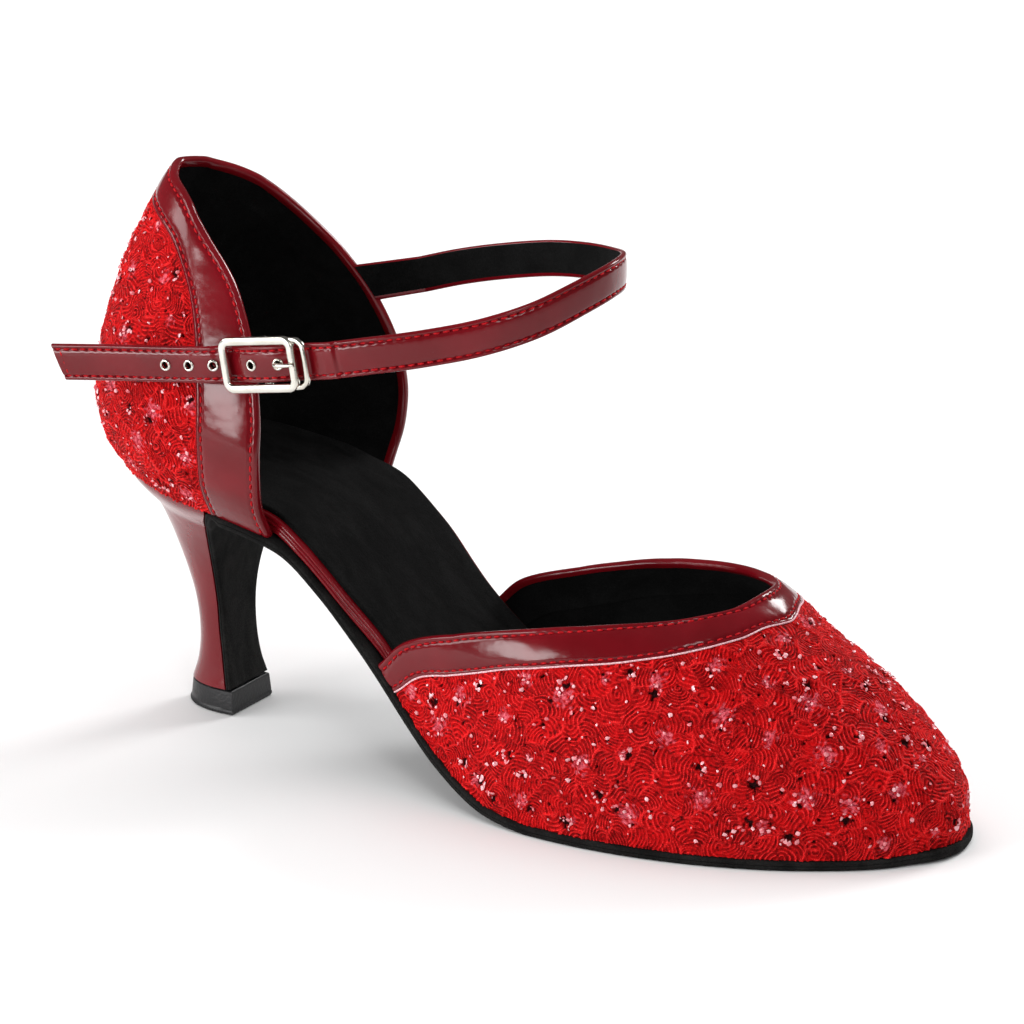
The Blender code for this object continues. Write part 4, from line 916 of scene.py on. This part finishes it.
# the heel's level rings: place runs from the outer breast corner (0) round the back to the inner one (1);
# the top ones blend into the outline of the seat
def heelRings(share, place):
    table = heel["sections"]
    back, half, breast = (readTable(share, table[:, 0], table[:, i])[:, None] for i in (1, 2, 3))
    angle = place[None] * np.pi
    x = breast - (breast - back) * np.sin(angle) ** 0.85
    y = -half * np.cos(angle)
    y = np.sign(y) * np.abs(y / half) ** 1.15 * half
    outer, inner = runAt(heel["front"], -1), runAt(heel["front"], 1) - around
    run = outer + (inner - outer) * place
    seat = rimPoint(run) - heel["seatInset"] * rimOut(run)
    blend = np.clip((share - heel["blendFrom"]) / (1 - heel["blendFrom"]), 0, 1)[:, None] ** 1.6
    x, y = x + (seat[:, 0] - x) * blend, y + (seat[:, 1] - y) * blend
    bottom = heel["tip"] + heel["gap"]
    z = bottom + (featherAt(seat[:, 0]) - heel["gap"] - bottom) * share[:, None]
    return np.stack([x, y, z], -1)


place = 0.5 - 0.5 * np.cos(np.pi * np.linspace(0, 1, 90))
place = 0.45 * place + 0.55 * np.linspace(0, 1, 90)
rings = heelRings(np.linspace(0, 1, 120), place)
sweep("heel_cover", rings.transpose(1, 0, 2), caps="ngon", lookNames=("heel",), node="heel", sharp=50)

# heel tip: a smooth block with a finely ribbed lip at the floor
low = heelRings(np.array([0.0]), np.linspace(0, 1, 120))[0] * [1, 1, 0]
low[[0, -1], 0] += heel["flapGap"] + heel["flap"] + 0.2 * mm
fill = np.linspace(0, 1, 26)[1:-1, None]
loop = np.vstack([low, low[-1] + (low[0] - low[-1]) * fill])
# millimetres up, share of the heel's lowest ring
bulk = np.array([(0.0, 0.98), (0.25, 1.05), (0.6, 1.075), (1.0, 1.075), (1.25, 1.06), (1.4, 1.045),
                 (1.8, 1.045), (3.5, 1.025), (5.3, 1.005), (5.8, 0.995), (6.0, 0.965)])
level, size = (bulk[:, i][:, None, None] for i in (0, 1))
ribbed = (level > 0.2) & (level < 1.2)
ribs = 1 + 0.012 * np.cos(np.arange(len(loop)) * np.pi)[None, :, None] * ribbed
grid = loop[None] * size * ribs + np.array([0, 0, 1]) * (level * mm)
sweep("heel_tip", grid.transpose(1, 0, 2), caps="ngon", lookNames=("tip",), node="top_piece", sharp=40)
print("heel done")

# sole: one sheet from the toe up the arch and down the heel's breast
sole = {
    "gap": 0.5 * mm, "thick": 2.2 * mm, "edge": 0.9 * mm, "join": 6 * mm, "round": 22 * mm,
    "archFrom": 84 * mm, "archEnd": 16.5 * mm,
    # share of the thickness, millimetres in from the edge; then shares of the half width
    "edgeLoop": [(0.0, 0.5), (0.08, 0.15), (0.2, 0.02), (0.38, 0.0), (0.44, 0.24), (0.5, 0.02), (0.7, 0.04),
                 (0.88, 0.22), (1.0, 0.6)],
    "across": (0.75, 0.4, 0.0, -0.4, -0.75),
}


# the toe's end as part of an ellipse: 1 where it starts, 0 at the tip
def toeReach(x):
    return np.sqrt(np.clip(1 - ((x - toeX + sole["round"]) / (sole["round"] + sole["edge"])) ** 2, 0, 1))


# a parabola from one place to another, drawn towards a third
def bend(begin, towards, end, t):
    return (1 - t) ** 2 * begin + 2 * t * (1 - t) * towards + t**2 * end


front = toeX + sole["edge"] - 0.06 * mm
ease = 1 - np.cos(np.linspace(0, 1, 150) * np.pi / 2)
x = np.concatenate([front - (front - sole["archFrom"]) * ease,
                    np.linspace(sole["archFrom"] - mm, sole["archEnd"], 110)])
lowSide, highSide = sidesAt(np.clip(x, last["seatBack"], toeX - 0.02 * mm))
join = toeX - sole["join"]
joinLow, joinHigh = sidesAt(join)
rounded = ((joinHigh - joinLow) / 2 + sole["edge"]) * toeReach(x) / toeReach(join)
half = np.where(x > join, rounded, (highSide - lowSide) / 2 + sole["edge"])
middle = (lowSide + highSide) / 2
z = featherAt(np.minimum(x, toeX)) - sole["gap"]
down = unit(np.stack([np.gradient(z, x), -np.ones_like(x)], -1))
top = np.stack([x, z], -1)
bottom = top + down * sole["thick"]
bottom[:, 1] = np.maximum(bottom[:, 1], 0.0)
share = np.linspace(0.975, 0, 110)
breast = heelRings(share, np.array([0.0, 1.0]))
flapIn = np.stack([breast[:, 0, 0] + heel["flapGap"], breast[:, 0, 2]], -1)
flapNormal = unit(np.stack([-np.gradient(flapIn[:, 1]), np.gradient(flapIn[:, 0])], -1))
thick = heel["flap"] + (sole["thick"] - heel["flap"]) * np.clip(2 * share - 1, 0, 1) ** 2
flapOut = flapIn + flapNormal * thick[:, None]
seatLow, seatHigh = sidesAt(heel["front"])
turn = np.linspace(0, 1, 12)[1:-1, None]
cornerIn = bend(top[-1], np.array([heel["front"], top[-1, 1] + 0.3 * mm]), flapIn[0], turn)
cornerOut = bend(bottom[-1], (bottom[-1] + flapOut[0]) / 2 + [-0.6 * mm, 0.9 * mm], flapOut[0], turn)
cornerHalf = half[-1] + (np.abs(breast[0, 0, 1]) - half[-1]) * turn[:, 0] ** 0.7
inLine, outLine = np.vstack([top, cornerIn, flapIn]), np.vstack([bottom, cornerOut, flapOut])
half = np.concatenate([half, cornerHalf, np.abs(breast[:, 0, 1]) + 0.05 * mm])
middle = np.concatenate([middle, (seatLow + seatHigh) / 2 * (1 - turn[:, 0]), np.zeros(len(share))])
loop = [(-1, depth, inset) for depth, inset in sole["edgeLoop"]] + [(-s, 1.0, 0) for s in sole["across"]]
loop += [(1, depth, inset) for depth, inset in sole["edgeLoop"][::-1]] + [(s, 0, 0) for s in sole["across"]]
side, depth, inset = (np.array(column)[:, None] for column in zip(*loop))
narrow = np.clip(half / (2 * mm), 0, 1)
y = middle[None] + side * half[None] - np.sign(side) * inset * mm * narrow[None]
flat = inLine[None] * (1 - depth[..., None]) + outLine[None] * depth[..., None]
grid = np.stack([flat[..., 0], y, flat[..., 1]], -1)
sweep("outsole_suede", grid, caps="ngon", lookNames=("sole",), node="outsole", sharp=45)
print("sole done")

# strap: middle line from the tail's end round to the inner side, woven through the buckle
strap = {
    "width": 8.8, "path": mm * np.array([
        (-22.0, -37.6, 93.0), (-8.0, -36.6, 94.8), (8.0, -35.9, 96.8), (22.0, -35.9, 98.9),
        (34.5, -37.0, 101.4), (48.0, -37.5, 104.0), (62.0, -36.0, 107.3), (76.0, -32.4, 110.5),
        (88.0, -26.5, 113.6), (97.5, -18.0, 117.2), (103.2, -8.0, 120.8), (105.2, 2.5, 122.6),
        (102.5, 13.0, 122.0), (95.0, 21.5, 120.0), (85.0, 27.3, 118.3), (74.0, 30.8, 116.4),
        (60.0, 32.8, 113.2), (46.0, 33.4, 109.4), (36.0, 32.6, 106.2)]),
    "buckleX": 34.5 * mm, "slant": 3.0 * mm, "rootHeight": 104 * mm,
    "weave": mm * np.array([
        (-22.0, 0.0), (-15.0, 0.0), (-11.0, -0.9), (-8.6, -0.9), (-4.0, 0.2), (0.0, 0.5), (4.0, 0.2),
        (8.6, -0.9), (14.5, -0.9), (19.0, 0.0), (24.0, 0.0)]),
    "holes": mm * np.array([5.2, -1.9, -14.2, -20.8, -27.4]), "holeRadius": 0.95, "thick": 1.6,
    # the eyelet's ring: millimetres from its axis, millimetres outwards
    "eyelet": [(0.86, 0.55), (0.84, 1.15), (0.9, 1.3), (1.08, 1.38), (1.28, 1.3), (1.42, 1.12), (1.45, 0.88),
               (1.35, 0.7), (1.1, 0.6)],
    # millimetres across, millimetres outwards, depth of the stitch pits; then the lined back
    "face": [(-4.4, -0.25, 0), (-4.42, 0.2, 0), (-4.25, 0.55, 0), (-3.95, 0.72, 0), (-3.65, 0.70, 0.1),
             (-3.45, 0.60, 0.5), (-3.25, 0.48, 1), (-3.05, 0.60, 0.5), (-2.8, 0.72, 0.1), (-2.3, 0.80, 0),
             (-1.2, 0.86, 0), (0, 0.88, 0)],
    "back": [(4.3, -0.52, 0), (4.05, -0.72, 0), (3.4, -0.78, 0), (1.5, -0.8, 0), (0, -0.8, 0)],
    "pitch": 2.35 * mm, "pucker": 0.3, "fold": 21.5 * mm, "thread": 0.26 * mm, "threadLength": 1.6 * mm,
}
strapSteps = runLengths(strap["path"])
strapSteps = strapSteps - np.interp(strap["buckleX"], strap["path"][:10, 0], strapSteps[:10])


# place, forward, outward and up directions of the strap at runs counted from the buckle
def strapFrame(at):
    def middle(run):
        return np.stack([readTable(run, strapSteps, strap["path"][:, i]) for i in range(3)], -1)
    near = np.clip(at, strapSteps[0] + 0.5 * mm, strapSteps[-1] - 0.5 * mm)
    forward = unit(middle(near + 0.5 * mm) - middle(near - 0.5 * mm))
    up = unit(np.array([0.0, 0.0, 1.0]) - forward * forward[..., 2:3])
    return middle(at), forward, np.cross(forward, up), up


# how far the strap swings outwards where it passes through the buckle
def weaveAt(at):
    shift = readTable(at, strap["weave"][:, 0], strap["weave"][:, 1])
    return np.where(np.abs(at) > 24 * mm, 0.0, shift)


# the band's front edge at a height, and the direction that leads off it
def bandEdge(side, heights):
    u = np.linspace(0.3, 1.0, 500) * side
    edge = quarterBandAt(u, 1.0)
    away = unit(edge - quarterBandAt(u, 0.8))
    order = np.argsort(edge[:, 2])
    return alongLine(heights, edge[order, 2], edge[order]), alongLine(heights, edge[order, 2], away[order])


face = strap["face"] + [(-y, z, p) for y, z, p in strap["face"][:-1][::-1]]
back = strap["back"] + [(-y, z, p) for y, z, p in strap["back"][:-1][::-1]]
across, out, pits = (np.array(column)[:, None] for column in zip(*(face + back)))
at = np.linspace(strapSteps[0], strapSteps[-1], 680)
middleLine, forward, outward, up = strapFrame(at)
pit = strap["pucker"] * (0.5 + 0.5 * np.cos(2 * np.pi * ((at - at[0]) / strap["pitch"] - 0.6)))
fold = (0.12 * hump(at, strap["fold"] - 1.0 * mm, 0.6 * mm) - 0.32 * hump(at, strap["fold"], 0.5 * mm)
        + 0.14 * hump(at, -11.8 * mm, 0.7 * mm))
lift = (out - pits * pit[None] + (out > 0) * fold[None]) * mm + weaveAt(at)[None]
grid = middleLine[None] + up[None] * (across * mm)[..., None] + outward[None] * lift[..., None]
lean = np.clip(1 - (at - at[0]) / (9 * mm), 0, 1)
grid = grid - forward[None] * (across / strap["width"] * strap["slant"] * lean[None])[..., None]
edge, lead = bandEdge(1, strap["rootHeight"] + across[:, 0] * mm)
rootOut = np.cross(lead, [0.0, 0.0, 1.0])
rootOut = unit(rootOut * np.sign(rootOut[:, 1:2]))
root = edge + lead * 0.35 * mm + rootOut * ((out - strap["thick"] / 2) * mm + 0.2 * mm)
bridge = np.linspace(0, 1, 22)[1:, None]
joint = grid[:, -1][:, None] * (1 - bridge)[None] + root[:, None] * bridge[None]
grid = np.concatenate([grid, joint], 1)
rowLook = ((np.arange(len(across)) > len(face)) & (np.arange(len(across)) < len(across) - 3)).astype(int)
strapPiece = sweep("strap_patent", grid, rowLook, caps="ngon", capLook=1, lookNames=("patent", "lining"),
                   node="strap", sharp=55)
for part, row in (("low", 6), ("high", len(face) - 7)):
    threadRun("strap_stitches_" + part, grid[row, :len(at)] + outward * 0.12 * mm, outward, strap["pitch"],
              strap["threadLength"], strap["thread"], "strap")
endAcross = np.linspace(-3.2, 3.2, 30)
endMiddle, endForward, endOut, endUp = strapFrame(np.full(30, strapSteps[0] + 1.7 * mm))
endLine = (endMiddle + endUp * (endAcross * mm)[:, None] + endOut * 0.72 * mm
           - endForward * (endAcross / strap["width"] * strap["slant"] * 0.85)[:, None])
threadRun("strap_stitches_end", endLine, endOut, 2.1 * mm, 1.4 * mm, 0.24 * mm, "strap")


# middle of the strap's outer face at a hole, and the way the face looks
def holeAt(offset):
    middleAt, ahead, outAt, upAt = strapFrame(np.array([offset]))
    slope = (weaveAt(np.array([offset + mm])) - weaveAt(np.array([offset - mm])))[0] / (2 * mm)
    return middleAt[0] + outAt[0] * weaveAt(np.array([offset]))[0], unit(outAt[0] - ahead[0] * slope)


# a profile (millimetres from the axis, millimetres along it) turned round the axis
def turnedRing(profile, centre, axis, corners=40):
    side = unit(np.cross(axis, [0.1, 0.2, 0.95]))
    other = np.cross(axis, side)
    angle = np.linspace(0, 2 * np.pi, corners, endpoint=False)[None, :, None]
    radius, height = (np.array(column)[:, None, None] * mm for column in zip(*profile))
    return centre + radius * (side * np.cos(angle) + other * np.sin(angle)) + height * axis


for i, offset in enumerate(strap["holes"]):
    centre, axis = holeAt(offset)
    tube = turnedRing([(strap["holeRadius"], -3), (strap["holeRadius"], 3)], centre, axis, 28)
    cutter = sweep("cutter", tube.transpose(1, 0, 2), caps="ngon", lookNames=("lining",))
    cut = strapPiece.modifiers.new("hole", "BOOLEAN")
    cut.operation = "DIFFERENCE"
    cut.solver = "EXACT"
    cut.object = cutter
    graph = bpy.context.evaluated_depsgraph_get()
    mesh = bpy.data.meshes.new_from_object(strapPiece.evaluated_get(graph))
    strapPiece.modifiers.clear()
    strapPiece.data = mesh
    bpy.data.objects.remove(cutter, do_unlink=True)
    sweep("eyelet_ring_%d" % (i + 1), turnedRing(strap["eyelet"], centre, axis), ring=True,
          lookNames=("nickel",), node="eyelet_%d" % (i + 1))
print("strap done")

# buckle: frame, front loop, two lugs and centre bar, in (forward, up, outward) from the strap's middle
buckle = {
    "length": 22, "height": 13.5, "bar": 2.1, "thick": 1.7, "lift": 1.05, "corner": 3.0, "drop": 1.3,
    "loopReach": 2.6, "loopBar": 0.65, "centreBar": 0.7 * mm, "tongue": 0.55 * mm,
    # the prong from the centre bar through its eyelet to the frame's front bar: forward, outward
    "tongueWay": [(-0.95, -2.7), (0.4, -3.0), (1.6, -2.6), (3.2, -2.2), (4.6, -1.7), (5.15, -0.9), (5.2, 1.2),
                  (5.35, 2.1), (6.2, 2.6), (8.0, 2.75)],
}
centreAt, aheadAt, outAt, upAt = (value[0] for value in strapFrame(np.array([0.0])))


# from the buckle's own directions to the shoe's
def toShoe(points):
    points = np.asarray(points) * mm
    return centreAt + points[..., 0:1] * aheadAt + points[..., 1:2] * upAt + points[..., 2:3] * outAt


# a flattened bar along a path: each section is a circle whose sine and cosine are raised to 0.75
def barGrid(path, halfWidth, halfThick, level, ring, corners=20):
    onward = np.roll(path, -1, axis=0) - np.roll(path, 1, axis=0)
    if not ring:
        onward[0], onward[-1] = path[1] - path[0], path[-1] - path[-2]
    onward = unit(onward)
    side = np.stack([onward[:, 1], -onward[:, 0]], -1)
    angle = np.linspace(0, 2 * np.pi, corners, endpoint=False)
    wide = np.sign(np.cos(angle)) * np.abs(np.cos(angle)) ** 0.75 * halfWidth
    deep = np.sign(np.sin(angle)) * np.abs(np.sin(angle)) ** 0.75 * halfThick
    flat = path[None] + side[None] * wide[:, None, None]
    depth = np.broadcast_to(level, len(path))[None] + deep[:, None]
    return toShoe(np.concatenate([flat, depth[..., None]], -1))


# a rectangle with its corners as quarter circles
def roundedLoop(length, height, corner, perCorner=14):
    points = []
    for quadrant, (sx, sy) in enumerate(((1, 1), (-1, 1), (-1, -1), (1, -1))):
        angle = (quadrant + np.linspace(0, 1, perCorner)) * np.pi / 2
        points.append(np.stack([sx * (length / 2 - corner) + corner * np.cos(angle),
                                sy * (height / 2 - corner) + corner * np.sin(angle)], -1))
    return np.vstack(points)


bar = buckle["bar"]
path = roundedLoop(buckle["length"] - bar, buckle["height"] - bar, buckle["corner"] - bar / 2)
frameGrid = barGrid(path, bar / 2, buckle["thick"] / 2, buckle["lift"], True)
sweep("buckle_frame_bar", frameGrid, ring=True, lookNames=("nickel",), node="buckle_frame")
reach = buckle["length"] / 2 + buckle["loopReach"]
rise = buckle["height"] / 2 - 1.1
corners = np.array([(2.0, rise), (reach - 3.2, rise), (reach - 1.4, rise - 0.5), (reach - 0.3, rise - 1.8),
                    (reach, 0.0)])
corners = np.vstack([corners, corners[:-1][::-1] * [1, -1]])
knots = np.linspace(0, 1, len(corners))
dense = np.linspace(0, 1, 70)
path = np.stack([readTable(dense, knots, corners[:, 0]), readTable(dense, knots, corners[:, 1])], -1)
level = buckle["lift"] - 0.45 + 0.35 * hump(dense, 0.5, 0.2)
loopGrid = barGrid(path, buckle["loopBar"], buckle["loopBar"], level, False, 14)
sweep("buckle_front_loop", loopGrid, caps="ngon", lookNames=("nickel",), slot="buckle_frame")
post = buckle["height"] / 2 - bar / 2
for side in (-1, 1):
    loop = roundedLoop(2.2, 1.1, 0.3, 4)
    lug = np.stack([toShoe(np.concatenate([loop + [0, post * side], np.full((len(loop), 1), z)], -1))
                    for z in (-buckle["drop"] - 0.75, -buckle["drop"] - 0.5, 0.3, buckle["lift"])])
    sweep("buckle_lug_%d" % (side + 2), lug.transpose(1, 0, 2), caps="ngon", lookNames=("nickel",),
          slot="buckle_frame")
line = toShoe(np.array([(0, y, -buckle["drop"]) for y in np.linspace(-post, post, 12)]))
rodAlong("buckle_centre_bar", line, buckle["centreBar"], "nickel", "buckle_frame", 16)
inner = buckle["length"] / 2 - bar / 2
run = np.array(buckle["tongueWay"] + [(inner, 2.55), (inner + 1.1, 2.3)])
knots = runLengths(run)
dense = np.linspace(0, knots[-1], 90)
ahead, outwards = (readTable(dense, knots, run[:, i]) for i in (0, 1))
line = toShoe(np.stack([ahead, 0 * dense, outwards], -1))
taper = buckle["tongue"] * (1.0 - 0.35 * np.clip((dense / knots[-1] - 0.75) / 0.25, 0, 1))
rodAlong("buckle_tongue", line, taper, "nickel", "buckle_prong", 14, "buckle_prong")

# short tab from the outer band's front edge to the centre bar
tab = {"height": 98.5 * mm, "half": 3.25 * mm}
across = np.linspace(-tab["half"], tab["half"], 12)
edge, lead = bandEdge(-1, tab["height"] + across)
end = centreAt + upAt * across[:, None] - outAt * buckle["drop"] * mm - aheadAt * 1.0 * mm
share = np.linspace(0, 1, 14)[:, None, None]
start = edge + lead * 0.3 * mm + [0, 0.3 * mm, 0]
sheet = start[None] * (1 - share) + end[None] * share
upper = sheet + outAt * 0.45 * mm * share
lower = sheet + np.array([0, 1.2 * mm, 0]) * (1 - share) - outAt * 0.6 * mm * share
grid = np.concatenate([upper, lower[:, ::-1]], 1).transpose(1, 0, 2)
sweep("buckle_tab_leather", grid, caps="ngon", lookNames=("patent",), node="buckle_tab", sharp=50)
print("buckle done")

# floor, light and camera
stage = {
    "floor": (0.86, 0.86, 0.86), "world": (1.0, 1.0, 1.0), "worldPower": 0.12,
    # name, place, aim, width, height, power, whether the patent mirrors it
    "lamps": (("sky", (-0.1, 0.5, 1.7), (-0.1, 0.4, 0), 3.0, 3.0, 45, False),
              ("front", (-0.58, -1.15, 0.34), (0.03, -0.03, 0.07), 0.6, 0.42, 9.0, True),
              ("back", (0.40, 1.1, 0.70), (0.1, 0, 0.04), 0.4, 0.4, 7.5, True),
              ("left", (-0.9, -0.5, 0.55), (0, 0, 0.06), 0.5, 0.5, 4.5, True),
              ("right", (0.9, -0.9, 0.9), (0.1, 0, 0.05), 0.3, 0.5, 3.5, True)),
}
floorMesh = bpy.data.meshes.new("floor")
floorMesh.from_pydata([(-6, -6, 0), (6, -6, 0), (6, 6, 0), (-6, 6, 0)], [], [(0, 1, 2, 3)])
floor = bpy.data.objects.new("floor", floorMesh)
bpy.context.scene.collection.objects.link(floor)
floorLook = Look("pale_floor", {"Base Color": stage["floor"], "Specular IOR Level": 0.2})
floorMesh.materials.append(floorLook.finish(Roughness=0.75 + floorLook.noise(3) * 0.1))
world = bpy.context.scene.world or bpy.data.worlds.new("world")
bpy.context.scene.world = world
world.use_nodes = True
background = world.node_tree.nodes["Background"]
background.inputs[0].default_value = (*stage["world"], 1.0)
background.inputs[1].default_value = stage["worldPower"]
for name, place, aim, width, height, power, mirrored in stage["lamps"]:
    light = bpy.data.lights.new(name, "AREA")
    light.shape = "RECTANGLE"
    light.size = width
    light.size_y = height
    light.energy = power
    lamp = bpy.data.objects.new(name, light)
    bpy.context.scene.collection.objects.link(lamp)
    lamp.location = place
    lamp.visible_glossy = mirrored
    lamp.rotation_euler = (Vector(aim) - Vector(place)).to_track_quat("-Z", "Y").to_euler()

# the photograph's angle: turn, height and roll in degrees, with the aim in millimetres across and up
view = {"turn": 33.15, "rise": 20.1, "roll": -0.55, "distance": 1500, "aim": (70.0, 46.3), "lens": 214.6}
turn, riseAngle, roll = (np.radians(view[key]) for key in ("turn", "rise", "roll"))
direction = np.array([np.sin(turn) * np.cos(riseAngle), -np.cos(turn) * np.cos(riseAngle), np.sin(riseAngle)])
right = np.array([np.cos(turn), np.sin(turn), 0.0])
upward = np.cross(right, -direction)
right, upward = np.cos(roll) * right + np.sin(roll) * upward, np.cos(roll) * upward - np.sin(roll) * right
position = direction * view["distance"] * mm
target = (right * view["aim"][0] + upward * view["aim"][1]) * mm
backward = unit(position - target)
right = unit(np.cross(upward, backward))
upward = np.cross(backward, right)
cameraData = bpy.data.cameras.new("camera")
cameraData.sensor_width = 36.0
cameraData.lens = view["lens"]
cameraData.clip_start = 0.05
cameraData.clip_end = 30.0
camera = bpy.data.objects.new("camera", cameraData)
bpy.context.scene.collection.objects.link(camera)
placed = np.column_stack([right, upward, backward, position])
camera.matrix_world = Matrix(np.vstack([placed, [0, 0, 0, 1]]).tolist())
bpy.context.scene.camera = camera
bpy.context.scene.view_settings.view_transform = "Standard"
